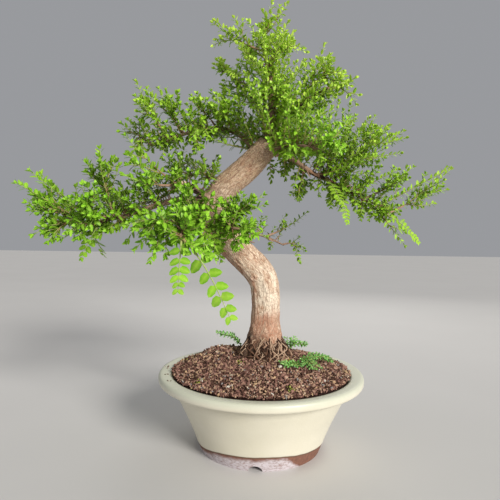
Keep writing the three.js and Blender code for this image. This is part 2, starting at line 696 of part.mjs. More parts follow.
const limbCurves = {};
for (const [name, limb] of Object.entries(LIMBS)) limbCurves[name] = routeCurve(limb.route);
take(boxesAlong(trunkCurve, 0.1, 1, (share) => trunkRadius(share, 0), 22), "wood");
for (const [name, limb] of Object.entries(LIMBS)) {
  const taper = (share) => THREE.MathUtils.lerp(...limb.radii, share) + GAP;
  take(boxesAlong(limbCurves[name], 0, 1, taper, 8), "wood");
}

const sprays = SPRAYS.map(planSpray);
const seedlings = Object.entries(SEEDLINGS).map(planSeedling);

// The wood is one grown piece: trunk, roots, branches and twigs
function woodSolid() {
  let solid = trunkSolid(0);
  for (const [name, limb] of Object.entries(LIMBS)) {
    const oval = (angle) => 1 + 0.06 * Math.cos(2 * angle);
    const taper = (share, angle) => THREE.MathUtils.lerp(...limb.radii, share) * oval(angle);
    const steps = Math.round(limbCurves[name].getLength() / 26) + 1;
    solid = solid.add(limbSolid(limbCurves[name], 5, steps, taper));
  }
  for (const spray of sprays) solid = solid.add(twigSolid(spray));
  const hollow = new THREE.SphereGeometry(1, 8, 6).scale(...KNEE_HOLLOW.size).translate(...KNEE_HOLLOW.at);
  return solid.subtract(solidOf(hollow));
}

const tree = new THREE.Group();
const pieces = [
  ["pot", potSolid(), glaze],
  ["drain_screen", screenSolid(), plastic],
  ["soil", soilSolid([trunkSolid(GAP + 0.1), ...Object.values(SEEDLINGS).map(seedlingHole)]), soilGrains],
  ["trunk_and_branches", woodSolid(), bark],
  ...seedlings.map((seedling) => [seedling.name, spraySolid(seedling), seedlingGreen]),
  ...sprays.map((spray) => [spray.name, spraySolid(spray), foliage]),
];
for (const [name, solid, material] of pieces) {
  const mesh = new THREE.Mesh(geometryOf(solid), material);
  mesh.name = name;
  tree.add(mesh);
}

export default tree;
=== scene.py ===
# A myrtle bonsai in its round glazed pot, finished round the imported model.
# Lengths in the tables are millimetres in the model's frame: +Z up, -Y the front of the tree.
import math
from functools import partial, reduce

import bpy
import numpy as np
from mathutils import Matrix, Vector, kdtree, noise


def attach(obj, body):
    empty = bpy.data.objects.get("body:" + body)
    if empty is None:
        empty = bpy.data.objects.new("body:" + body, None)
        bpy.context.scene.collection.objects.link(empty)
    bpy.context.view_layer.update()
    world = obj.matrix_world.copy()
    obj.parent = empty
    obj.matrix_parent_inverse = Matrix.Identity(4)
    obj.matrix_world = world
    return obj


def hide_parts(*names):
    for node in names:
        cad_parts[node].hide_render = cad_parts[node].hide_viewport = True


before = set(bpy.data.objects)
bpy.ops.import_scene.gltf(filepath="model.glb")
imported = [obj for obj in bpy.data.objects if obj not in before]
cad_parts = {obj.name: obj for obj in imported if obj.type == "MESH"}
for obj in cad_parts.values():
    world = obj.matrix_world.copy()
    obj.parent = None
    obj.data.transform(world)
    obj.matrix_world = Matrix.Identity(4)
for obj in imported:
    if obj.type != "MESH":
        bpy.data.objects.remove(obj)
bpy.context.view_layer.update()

bl_info = {
    "name": "Myrtle bonsai",
    "version": (1, 0, 0),
    "blender": (4, 5, 0),
    "location": "3D View > Sidebar > Bonsai",
    "description": "Builds a myrtle bonsai in a round glazed pot",
    "category": "Add Mesh",
}

MM = 0.001
UP = np.array([0.0, 0.0, 1.0])
FRONT = np.array([0.0, -1.0, 0.0])
CROWN_HEART = np.array([0.0, 90.0, 295.0]) * MM

# The pot's profile, from under its foot up the outside, over the rim and down the inside
POT_OUTSIDE = [(88.5, 0), (90.4, 5), (92.6, 11), (95, 18), (99.3, 29), (106.3, 45), (114.3, 61), (122.3, 77),
               (129.5, 91), (132.6, 95.6)]
POT_RIM = [(138, 96.8), (144.5, 97.2), (148.4, 98.6), (149.9, 101.4), (149.9, 105.8), (148.6, 108.8),
           (145.8, 109.9), (141, 109.8), (136, 109.4), (132.6, 109), (130.6, 107.4)]
POT_INSIDE = [(119, 86), (107.5, 62), (93, 34), (80, 16.5), (14, 15), (14, 7), (77.5, 7), (79.5, 0)]
POT_STEP = 2
# The notches in the foot: where they stand round it in degrees, then the width and height of each
POT_NOTCHES = (-95, 25, 145)
NOTCH_SIZE = (9.6, 8.2)
NOTCH_DEPTH = 22
FOOT_RADIUS = 83.5
# The glaze ends outside this radius and below this height
OUTSIDE_RADIUS = 86
GLAZE_END = 60
GLAZE_THICKNESS = 0.6

# The trunk: points of its middle line, and its radius at each of them
TRUNK_ROUTE = [
    (5, 0, 77), (5, 0, 117), (5, 0, 135), (6, 0, 155), (6, 0, 180), (6, 0, 215), (-2, 0, 250),
    (-34, 1, 285), (-66, 3, 316), (-77, 4, 348), (-60, 0, 376), (-24, -5, 408), (7, -6, 442),
]
TRUNK_RADII = [24, 43, 36.5, 26.6, 21.3, 20.3, 21, 21.5, 20.5, 21, 19.5, 18.5, 16.5]
KNEE_HOLLOW = ((-94, -14, 370), (9, 9, 7))
# Knots and pits in the bark: place, radius, height of the lip, depth of the middle, redness
KNOTS = [((-14, -21, 248), 5.5, 1.2, 1.2, 1), ((-19, -19, 268), 3, 0, 1.8, 0.3),
         ((2, -22, 196), 3, 0.6, 0.6, 0.6)]
ROOT_TIPS = [(78, -20, 73), (20, -74, 71), (-62, -42, 75), (-50, 56, 73), (34, 70, 71)]

# The branches: middle line, radius where it starts and radius at its tip
LIMBS = {
    "leader": ([(4, -5, 430), (7, -6, 470), (11, -6, 507), (5, -10, 544), (-3, -15, 575)], 6.5, 2.2),
    "apex_left": ([(8, -5, 480), (-18, 12, 520), (-45, 20, 550)], 3.2, 1.8),
    "apex_right": ([(10, -5, 477), (52, 0, 505), (90, 0, 527)], 3.6, 1.8),
    "left_top": ([(-8, -4, 430), (-32, 15, 458), (-60, 28, 472), (-90, 28, 472), (-130, 16, 458),
                  (-167, 0, 441)], 4.6, 2),
    "left_low": ([(-70, 2, 355), (-100, -12, 361), (-138, -28, 355), (-190, -46, 335),
                  (-240, -65, 321)], 6.5, 2.2),
    "knee_stub": ([(-74, 0, 357), (-95, -8, 373), (-117, -15, 383), (-134, -20, 380)], 7, 4),
    "knee_front": ([(-72, -8, 357), (-100, -40, 377), (-125, -66, 375)], 3.4, 1.9),
    "right": ([(0, -2, 433), (36, 12, 429), (58, 22, 418), (78, 28, 406), (102, 32, 396),
               (124, 35, 387)], 5, 2.6),
    "right_far": ([(92, 31, 400), (135, 48, 383), (178, 65, 361), (198, 75, 345)], 3, 1.9),
    "right_up": ([(84, 29, 404), (118, 38, 420), (150, 45, 437)], 2.8, 1.8),
    "right_front": ([(4, -10, 433), (40, -45, 435), (75, -70, 425)], 3.4, 1.8),
    "front": ([(-70, -8, 350), (-88, -50, 343), (-100, -88, 323), (-106, -112, 307)], 3.6, 1.9),
    "front_right": ([(-66, -8, 335), (-55, -45, 327), (-42, -72, 319)], 3, 1.8),
    "back": ([(-42, 5, 297), (-10, 50, 311), (15, 85, 305), (38, 108, 295)], 3, 1.8),
    "back_left": ([(-50, 5, 385), (-90, 50, 405), (-120, 85, 410)], 3.4, 1.8),
    "back_right": ([(2, 2, 435), (30, 50, 445), (62, 90, 443)], 3.4, 1.8),
}

# The sprays: branch, how far along it the twig leaves, tip of the main shoot, tip of its fork
SPRAYS = [
    ("left_low", 1, (-316, -80, 371), (-310, -40, 391)),
    ("left_low", 0.97, (-298, -90, 307), (-290, -52, 331)),
    ("left_low", 0.9, (-310, 6, 347), (-274, -8, 377)),
    ("left_low", 0.8, (-223, -60, 423), (-208, -20, 407)),
    ("left_low", 0.93, (-223, -126, 367)),
    ("left_low", 0.88, (-240, -78, 277), (-226, -34, 281)),
    ("left_low", 0.7, (-243, 45, 383), (-198, 58, 339)),
    ("left_low", 0.78, (-242, -120, 311)),
    ("left_top", 0.85, (-187, -8, 530), (-170, -52, 491)),
    ("left_top", 0.72, (-162, 34, 533), (-133, -25, 503)),
    ("left_top", 1, (-206, 24, 483), (-192, -16, 415)),
    ("left_top", 0.45, (-96, -20, 510)),
    ("left_top", 0.3, (-67, -45, 502), (-62, 30, 532)),
    ("left_top", 0.8, (-168, 70, 453)),
    ("left_top", 0.55, (-98, -62, 439)),
    ("knee_front", 0.85, (-185, -70, 439)),
    ("knee_front", 1, (-178, -104, 383)),
    ("knee_stub", 0.8, (-115, -62, 415)),
    ("knee_stub", 0.35, (-63, -42, 414), (-88, 4, 419)),
    ("leader", 1, (-75, -20, 611)),
    ("leader", 1, (0, -22, 621), (28, -32, 633)),
    ("leader", 0.93, (-30, 22, 607), (-24, 60, 571)),
    ("leader", 0.84, (-12, -64, 587)),
    ("leader", 0.9, (38, 16, 609), (50, -42, 569)),
    ("leader", 0.45, (18, -72, 513), (36, -58, 493)),
    ("leader", 0.5, (-18, -62, 499)),
    ("leader", 0.62, (22, 72, 545)),
    ("apex_right", 0.6, (88, 12, 595)),
    ("apex_right", 0.82, (89, -36, 561), (104, -52, 533)),
    ("apex_right", 1, (126, 22, 545), (130, -18, 501)),
    ("apex_left", 1, (-76, 32, 571), (-45, -28, 535)),
    ("right_up", 0.85, (172, 40, 497), (215, 20, 461)),
    ("right_up", 1, (192, 74, 489), (222, 56, 479)),
    ("right_far", 0.62, (236, 48, 421), (194, 8, 413)),
    ("right_far", 1, (315, 96, 425), (292, 104, 369)),
    ("right_far", 0.92, (258, 76, 303)),
    ("right_far", 0.8, (232, 118, 347)),
    ("right", 0.95, (128, 14, 331)),
    ("right", 0.78, (112, -16, 359)),
    ("right_front", 1, (86, -112, 425), (108, -84, 463)),
    ("right", 0.5, (62, 58, 371)),
    ("back_right", 0.4, (-38, 70, 499)),
    ("front", 0.92, (-104, -136, 243)),
    ("front", 1, (-42, -136, 211)),
    ("front", 0.8, (-168, -130, 319)),
    ("front", 0.66, (-166, -92, 291), (-142, -112, 277)),
    ("front_right", 0.85, (-32, -62, 365), (0, -72, 351)),
    ("front_right", 1, (-4, -94, 323), (-32, -104, 295)),
    ("front", 0.45, (-58, -60, 277)),
    ("back", 0.62, (78, 112, 351), (36, 74, 333)),
    ("back", 1, (76, 134, 291), (66, 98, 267)),
    ("back_left", 1, (-168, 116, 437), (-112, 126, 463)),
    ("back_right", 1, (104, 122, 475), (52, 132, 489)),
]

# Straight shoots between the sprays, by branch: how far along it each leaves, tip
SHOOTS_BETWEEN = {
    "leader": [(0.78, (-72, -22, 613))],
    "left_low": [(0.98, (-322, -84, 373)), (0.93, (-316, -60, 392)), (0.85, (-264, -90, 302)),
                 (0.7, (-224, -90, 300)), (0.55, (-180, -80, 300))],
    "front": [(0.97, (-73, -125, 285)), (0.9, (-97, -125, 290)), (0.99, (-62, -122, 281))],
    "front_right": [(0.98, (-38, -84, 292)), (0.7, (-2, -60, 364)), (0.9, (2, -62, 309))],
    "back_right": [(0.12, (14, 62, 398))],
    "right_up": [(0.7, (204, 10, 436)), (0.5, (154, 0, 484))],
    "right_far": [(0.45, (207, 30, 414)), (0.85, (300, 60, 422)), (0.9, (232, 66, 298))],
}

# The leaves of each branch: their size, sister shoots and side shoots on each spray, then the number
# and the length of the shoots on the branch itself, and where along it they begin
LEAFINESS = {
    "leader": (0.68, 2, 2, 66, 82, 0.02), "apex_left": (0.68, 2, 2, 24, 56, 0.05),
    "apex_right": (0.68, 2, 2, 48, 68, 0.05), "left_top": (0.78, 3, 1, 80, 60, 0.02),
    "left_low": (0.86, 3, 2, 54, 54, 0.35), "knee_stub": (0.76, 1, 1, 5, 34, 0.7),
    "knee_front": (0.84, 1, 1, 12, 36, 0.5), "right": (0.7, 3, 2, 44, 62, 0.1),
    "right_far": (0.7, 2, 2, 66, 60, 0.1), "right_up": (0.68, 2, 2, 50, 100, 0.0),
    "right_front": (0.7, 2, 2, 42, 68, 0.02), "front": (0.9, 2, 2, 52, 42, 0.4),
    "front_right": (0.8, 1, 1, 30, 40, 0.3), "back": (0.6, 0, 1, 7, 34, 0.2),
    "back_left": (0.68, 1, 2, 14, 44, 0.5), "back_right": (0.68, 2, 2, 42, 70, 0.1),
}

# The seedlings: where each root goes into the soil, the tip of its main shoot and those of its forks
SEEDLINGS = {
    "seedling_left": ((-30, 22), (-66, 16, 161)),
    "seedling_back": ((44, 26), (70, 30, 142), (48, 50, 146)),
    "seedling_front": ((58, -24), (74, -58, 129), (102, -8, 126), (28, -54, 134)),
}

SOIL_EDGE = 107.5
SOIL_MOUND = 25
SOIL_ROUNDING = 2.4
SOIL_RADIUS = 130
RIDGE_PLACE = (-66, 30)
RIDGE_HEIGHT = 9.5
RIDGE_REACH = 30
# Where moss grows: place, reach
MOSS = [(-112, 40, 12), (-83, -78, 8), (34, -108, 8), (42, -34, 14), (-30, -38, 8)]
# Pale stones among the grains: place, radius
STONES = [(25, -58, 3.8), (-116, -40, 2.6), (-80, -80, 2.3), (-92, -88, 2), (46, -56, 2.6), (12, -121, 2.2),
          (-64, 30, 2.2), (84, -74, 2), (-44, -102, 2)]
# Crumbs of soil on the rim
RIM_TOP = 110
RIM_DIRT = [(-141, 10), (-127, -61), (-137, 2), (-135, -30)]
CRUMBS = 5
# How a grain is squashed along its three axes: least and most
GRAIN_SQUASH = ((0.6, 1.0), (0.8, 1.2), (0.9, 1.7))
# The shade of a pale stone, and of moss
PALE_STONE = 0.99
MOSS_SHADE = 1.0

# The bark's flakes, broad swellings and deep furrows: height, frequency across and along the grain
FLAKES = (0.6, 300, 90)
SWELLINGS = (0.9, 70, 16)
FURROWS = (12, 75, 12)
FURROW_RIDGE = 2.6
# How far the dark, fibrous foot rises over the soil, and how much further for each millimetre to the left
DARK_FOOT_RISE = 36
DARK_FOOT_LEAN = 0.5
# Places along each branch at which the bark's directions are known
RING_STEPS = 90
# Where a root bends on its way out: share of its reach, shift to the trunk's middle, height
ROOT_BENDS = [(0.1, 5, 152), (0.4, 4, 134), (0.66, 2, 112)]
ROOT_RADII = (9, 3)
# A thin twig's radius where it starts and at its tip
TWIG_RADII = (1.2, 0.7)

# A leaf blade: how full it is and how it narrows, its fold, its droop and half of its thickness
BLADE_FULLNESS = 1.16
BLADE_TAPER = 0.36
BLADE_FOLD = 0.085
BLADE_DROOP = 0.1
BLADE_HALF = 0.16
# Distance between pairs of full-size leaves, here and on the modelled sprays
LEAF_STEP = 8.6
MODEL_LEAF_STEP = 18.2
# The bare foot of a spray: least length beyond the bark, and least share of the spray
BARE_TWIG = 7
BARE_SHARE = 0.26
# The leaf pairs of a shoot, in radians: turn of the first pair, turn from it to the next, angle between
# leaf and shoot at the shoot's foot, and how far that angle falls by its tip
PAIR_TURN = 0.35
NEXT_PAIR_TURN = 1.45
LEAF_SPREAD = 1.08
SPREAD_FALL = 0.4
# How much smaller the leaves at a shoot's tip are, and what stretches every blade along and across
TIP_SHRINK = 0.32
ALONG_STRETCH = 1.06
ACROSS_STRETCH = 0.84
# What hanging shoots add to these: their leaves lie flat, wide and close together
FLAT_SPREAD = 0.15
FLAT_SHRINK = 0.1
FLAT_ACROSS = 0.32
# Least length of a side shoot
SIDE_SHOOT = 18
# How much larger the leaves get on a shoot that hangs in front: from the end of a branch, and elsewhere
END_GROWTH = 0.6
SIDE_GROWTH = 0.22
FRONT_REACH = 130
# Leaves are darkest at the crown's middle and palest beyond its reach to the sides, the front and up: partly
# their age, partly painted shade deep inside
CROWN_MIDDLE = (0, 30, 380)
CROWN_REACH = (300, 170, 200)
# A seedling's leaves as a share of the tree's, and the distance between its fronds
SEEDLING_LEAF = 0.4
FROND_STEP = 3.4

# Colours of stains, marks, painted shade and small things
GLAZE_SPECKS = (0.42, 0.34, 0.2)
GLAZE_EDGE = (0.1, 0.055, 0.03)
CHALK = (0.62, 0.57, 0.6)
OLD_BARK = (0.46, 0.3, 0.16)
BARK_FLECKS = (0.13, 0.065, 0.035)
CREAM_BARK = (0.92, 0.8, 0.64)
FURROW_BROWN = (0.24, 0.12, 0.07)
CRACK_BROWN = (0.19, 0.09, 0.055)
DEADWOOD = (0.63, 0.5, 0.36)
# Painted shade: the near-black inside of the knee hollow
HOLLOW_PAINTED_SHADE = (0.03, 0.018, 0.012)
ROOT_FIBRE = [(0.49, (0.02, 0.01, 0.006)), (0.62, (0.36, 0.2, 0.12))]
STEM_GREEN = (0.36, 0.47, 0.13)
STEM_BROWN = (0.36, 0.2, 0.1)
STEM_STREAKS = (0.1, 0.05, 0.03)
FINE_ROOTS = [(0.3, (0.035, 0.016, 0.01)), (0.6, (0.2, 0.1, 0.06)), (0.9, (0.6, 0.42, 0.29))]
ROOT_STREAKS = (0.06, 0.03, 0.018)
LEAF_SCATTER = (0.004, 0.006, 0.001)
FRONT_TINT = (0.76, 1.0, 0.9)
SEEDLING_TIP = (0.36, 0.62, 0.2)
GRAIN_COLORS = [
    (0.0, (0.05, 0.024, 0.014)), (0.12, (0.1, 0.05, 0.034)), (0.3, (0.2, 0.1, 0.078)),
    (0.5, (0.33, 0.18, 0.137)), (0.67, (0.45, 0.275, 0.2)), (0.78, (0.46, 0.3, 0.2)),
    (0.88, (0.56, 0.38, 0.22)), (0.935, (0.64, 0.52, 0.38)), (0.965, (0.3, 0.28, 0.27)),
    (0.985, (0.74, 0.7, 0.6)), (MOSS_SHADE, (0.33, 0.36, 0.05)),
]
GRAIN_SPECKLES = (0.12, 0.06, 0.045)
FINE_SOIL = [(0.35, (0.012, 0.007, 0.005)), (0.7, (0.055, 0.027, 0.02))]
MESH_PLASTIC = [(0.4, (0.012, 0.012, 0.014)), (0.7, (0.03, 0.03, 0.033))]

# Seeds of the random draws; each spray's seed is its number in the table
ROOTLET_SEED = 3
STUB_SEED = 5
GRAIN_SEED = 7
INNER_SEED = 200
SEEDLING_SEED = 400

# The lights: kind, place in metres, and size or a sun's angle
LIGHTS = {
    "key": ("SUN", (0.85, -1.25, 1.0), 0.35),
    "fill": ("AREA", (-1.3, -0.9, 0.9), 1.4),
    "back": ("AREA", (0.4, 1.4, 1.2), 1.2),
}
LIGHT_TARGET = (-0.02, 0, 0.33)
LIGHT_COLOR = (1, 0.97, 0.92)
SKY_COLOR = (0.93, 0.95, 1.0)
FLOOR_SIZE = 16
CAMERA_PLACE = (-18.5, -698, 307.5)
CAMERA_TILT = 1.58
CAMERA_ROLL = 0.8
CAMERA_LENS = 33.91
CAMERA_SENSOR = 36


# Curves that the wood and the shoots follow

class Way:
    """A smooth line in space that is walked by the share of its length."""

    def __init__(self, points):
        self.points = np.asarray(points, float)
        steps = np.linalg.norm(np.diff(self.points, axis=0), axis=1)
        self.walked = np.concatenate([[0.0], np.cumsum(steps)])
        self.length = self.walked[-1]

    def at(self, share):
        place = np.clip(share, 0, 1) * self.length
        return np.stack([np.interp(place, self.walked, line) for line in self.points.T], axis=-1)

    def heading(self, share):
        share = np.asarray(share, float)
        return unit(self.at(share + 0.01) - self.at(share - 0.01))

    def spread(self, values, share):
        """A value from a list that is spread evenly over the way's corners."""
        corners = np.interp(np.linspace(0, 1, len(values)), np.linspace(0, 1, len(self.walked)), self.walked)
        return np.interp(np.asarray(share) * self.length, corners, values)


def unit(vectors):
    return vectors / np.linalg.norm(vectors, axis=-1, keepdims=True)


def between(ends, share):
    """The value between a first and a last one."""
    first, last = ends
    return first + (last - first) * share


def route(corners, steps=24):
    """A smooth way through corners that are given in millimetres."""
    corners = np.asarray(corners, float) * MM
    ends = np.vstack([2 * corners[0] - corners[1], corners, 2 * corners[-1] - corners[-2]])
    t = np.linspace(0, 1, steps, endpoint=False)[:, None]
    spans = [
        0.5 * (2 * b + (c - a) * t + (2 * a - 5 * b + 4 * c - d) * t**2 + (3 * b - a - 3 * c + d) * t**3)
        for a, b, c, d in zip(ends, ends[1:], ends[2:], ends[3:])
    ]
    return Way(np.vstack([*spans, corners[-1:]]))


def bow(start, middle, tip, steps):
    """A way from start to tip that is drawn towards the middle point."""
    share = np.linspace(0, 1, steps)[:, None]
    return Way((1 - share) ** 2 * start + 2 * share * (1 - share) * middle + share**2 * tip)


def arch(start, tip):
    """A shoot's way: it rises out of its twig, or arches over and hangs."""
    start, tip = np.asarray(start, float), np.asarray(tip, float)
    length = np.linalg.norm(tip - start)
    lift = 0.2 if tip[2] < start[2] else -0.12
    return bow(start, (start + tip) / 2 + UP * length * lift, tip, 25)


def carried(way, shares, across):
    """Directions across a way, carried along it without twist."""
    ahead = way.heading(shares)
    sides = [across]
    for direction in ahead:
        side = sides[-1] - direction * (sides[-1] @ direction)
        sides.append(side / np.linalg.norm(side))
    sides = np.array(sides[1:])
    return sides, np.cross(ahead, sides)


def square_to(direction):
    """Any direction square to the given one."""
    axis = np.eye(3)[np.argmin(np.abs(direction))]
    return unit(np.cross(direction, axis))


def beside(ahead, facing):
    """The directions to the side of a shoot and to its upper face."""
    side = unit(np.cross(ahead, facing))
    return side, np.cross(side, ahead)


def around(ahead, turn):
    """The direction square to the given one that is turned round it by an angle."""
    side = square_to(ahead)
    return side * math.cos(turn) + np.cross(ahead, side) * math.sin(turn)


TRUNK = route(TRUNK_ROUTE)
LIMB_WAYS = {name: route(corners) for name, (corners, _, _) in LIMBS.items()}


def trunk_radius(share, angle):
    """The trunk's radius round its middle line: five lobes at the root flare, shallow flutes above."""
    radius = TRUNK.spread(TRUNK_RADII, share)
    flare = np.maximum(0, 1 - share / 0.26)
    lobes = 0.22 * flare * np.cos(5 * angle + 0.6)
    flutes = 0.035 * np.cos(3 * angle + 9 * share) + 0.025 * np.cos(5 * angle - 14 * share)
    return radius * MM * (1 + lobes + flutes)


def soil_height(x, y):
    """Height of the soil's surface in millimetres: a mound with a ridge behind it on the left."""
    mound = np.maximum(0, SOIL_MOUND * (1 - (np.hypot(x, y) / SOIL_RADIUS) ** SOIL_ROUNDING))
    offset = (x - RIDGE_PLACE[0]) ** 2 + (y - RIDGE_PLACE[1]) ** 2
    ridge = RIDGE_HEIGHT * np.exp(-offset / RIDGE_REACH**2) * np.minimum(1, mound / 8)
    lumps = 0.9 * np.sin(0.31 * x + 2 * np.sin(0.11 * y)) * np.sin(0.27 * y + 2 * np.sin(0.13 * x))
    return SOIL_EDGE + mound + ridge + lumps


# Mesh helpers

def begin():
    """Object mode with nothing selected."""
    if bpy.context.mode != "OBJECT":
        bpy.ops.object.mode_set(mode="OBJECT")
    bpy.ops.object.select_all(action="DESELECT")


def pick(*objects):
    """Selects only these objects and makes the last one active."""
    begin()
    for piece in objects:
        piece.select_set(True)
    bpy.context.view_layer.objects.active = objects[-1]
    return objects[-1]


def named(name):
    """Names the object that an operator has just made."""
    piece = bpy.context.active_object
    piece.name = piece.data.name = name
    return piece


def places_of(piece):
    places = np.empty(len(piece.data.vertices) * 3)
    piece.data.vertices.foreach_get("co", places)
    return places.reshape(-1, 3)


def set_places(piece, places):
    piece.data.vertices.foreach_set("co", places.ravel())
    piece.data.update()


def mark(mesh, name, values):
    """A float, or a vector, kept on each vertex under a name that materials read."""
    values = np.asarray(values, float)
    kind = "FLOAT" if values.ndim == 1 else "FLOAT_VECTOR"
    mesh.attributes.new(name, kind, "POINT").data.foreach_set(
        "value" if values.ndim == 1 else "vector", values.ravel())


def outward(piece):
    """Faces of a closed shape all point out."""
    pick(piece)
    bpy.ops.object.mode_set(mode="EDIT")
    bpy.ops.mesh.select_all(action="SELECT")
    bpy.ops.mesh.remove_doubles(threshold=1e-6)
    bpy.ops.mesh.normals_make_consistent(inside=False)
    bpy.ops.object.mode_set(mode="OBJECT")


def finish_with(piece, kind, **settings):
    """Adds one modifier and applies it."""
    pick(piece)
    modifier = piece.modifiers.new(kind.title(), kind)
    for key, value in settings.items():
        setattr(modifier, key, value)
    bpy.ops.object.modifier_apply(modifier=modifier.name)


def placed(piece, slot, material, *nodes):
    """Settles a finished piece at the origin, with its material, its body and what it stands for."""
    pick(piece)
    bpy.ops.object.transform_apply(location=True, rotation=True, scale=True)
    if material:
        piece.data.materials.clear()
        piece.data.materials.append(material)
    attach(piece, "root")
    if nodes:
        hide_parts(*nodes)


def stamped(name, shape, roots, bases, marks):
    """One mesh with a copy of a modelled shape at each root, turned and sized by its basis."""
    template = places_of(shape)
    count, corners = len(roots), len(template)
    places = np.einsum("nij,kj->nki", bases, template) + roots[:, None, :]
    faces = [list(polygon.vertices) for polygon in shape.data.polygons]
    mesh = bpy.data.meshes.new(name)
    copies = [[corner + copy * corners for corner in face] for copy in range(count) for face in faces]
    mesh.from_pydata(places.reshape(-1, 3).tolist(), [], copies)
    for key, values in marks.items():
        mark(mesh, key, np.repeat(values, corners, axis=0))
    for layer in shape.data.attributes:
        if layer.domain == "POINT" and layer.data_type == "FLOAT" and not layer.is_internal:
            values = np.empty(corners)
            layer.data.foreach_get("value", values)
            mark(mesh, layer.name, np.tile(values, count))
    piece = bpy.data.objects.new(name, mesh)
    bpy.context.collection.objects.link(piece)
    return piece


def tree_of(places):
    """Finds the nearest of many places."""
    tree = kdtree.KDTree(len(places))
    for number, place in enumerate(places):
        tree.insert(place, number)
    tree.balance()
    return tree


def drop(piece):
    """Removes an object with its mesh."""
    mesh = piece.data
    bpy.data.objects.remove(piece)
    bpy.data.meshes.remove(mesh)


def tubes(name, rows, roundness=0):
    """Round stems along ways, from (way, first share, last share, two radii, two ages) rows."""
    curve = bpy.data.curves.new(name, "CURVE")
    curve.dimensions = "3D"
    curve.bevel_depth = MM
    curve.bevel_resolution = roundness
    curve.use_fill_caps = True
    middles, ages = [], []
    for way, first, last, radii, span in rows:
        count = max(4, int((last - first) * way.length / (7 * MM)) + 2)
        spline = curve.splines.new("POLY")
        spline.points.add(count - 1)
        places = way.at(np.linspace(first, last, count))
        for point, place, share in zip(spline.points, places, np.linspace(0, 1, count)):
            point.co = (*place, 1)
            point.radius = between(radii, share)
            middles.append(place)
            ages.append(between(span, share))
    piece = bpy.data.objects.new(name, curve)
    bpy.context.collection.objects.link(piece)
    pick(piece)
    bpy.ops.object.convert(target="MESH")
    piece = bpy.context.active_object
    outward(piece)
    tree = tree_of(middles)
    mark(piece.data, "age", np.array(ages)[[tree.find(place)[1] for place in places_of(piece)]])
    return piece


# Materials

class Nodes:
    """Shader nodes that are added from left to right."""

    def __init__(self, tree):
        self.tree = tree

    def node(self, kind, inputs=None, output=0, **settings):
        """One output of a new node."""
        node = self.tree.nodes.new(kind)
        for key, value in settings.items():
            setattr(node, key, value)
        for key, value in (inputs or {}).items():
            self.feed(node.inputs[key], value)
        return node.outputs[output]

    def feed(self, socket, value):
        """Links a socket, or sets it to a number, a vector or a colour of three parts."""
        if isinstance(value, bpy.types.NodeSocket):
            self.tree.links.new(value, socket)
        elif socket.type == "RGBA":
            socket.default_value = (*value, 1)
        else:
            socket.default_value = value

    def ease(self, value, low, high):
        """0 below low and 1 above high."""
        inputs = {"Value": value, "From Min": low, "From Max": high}
        return self.node("ShaderNodeMapRange", inputs, interpolation_type="SMOOTHSTEP")


def fleck_group():
    """The flecks of every material: noise drawn out along the grain, and a mask of where it is high."""
    if "flecks" in bpy.data.node_groups:
        return bpy.data.node_groups["flecks"]
    group = bpy.data.node_groups.new("flecks", "ShaderNodeTree")
    for name in ("Vector", "Grain"):
        group.interface.new_socket(name, in_out="INPUT", socket_type="NodeSocketVector")
    for name in ("Scale", "Detail", "Roughness", "Low", "High"):
        group.interface.new_socket(name, in_out="INPUT", socket_type="NodeSocketFloat")
    for name in ("Mask", "Height"):
        group.interface.new_socket(name, in_out="OUTPUT", socket_type="NodeSocketFloat")
    nodes = Nodes(group)
    given = group.nodes.new("NodeGroupInput").outputs
    drawn_out = nodes.node("ShaderNodeMapping", {"Vector": given["Vector"], "Scale": given["Grain"]})
    inputs = {"Vector": drawn_out, **{key: given[key] for key in ("Scale", "Detail", "Roughness")}}
    height = nodes.node("ShaderNodeTexNoise", inputs)
    result = group.nodes.new("NodeGroupOutput").inputs
    nodes.feed(result["Mask"], nodes.ease(height, given["Low"], given["High"]))
    nodes.feed(result["Height"], height)
    return group


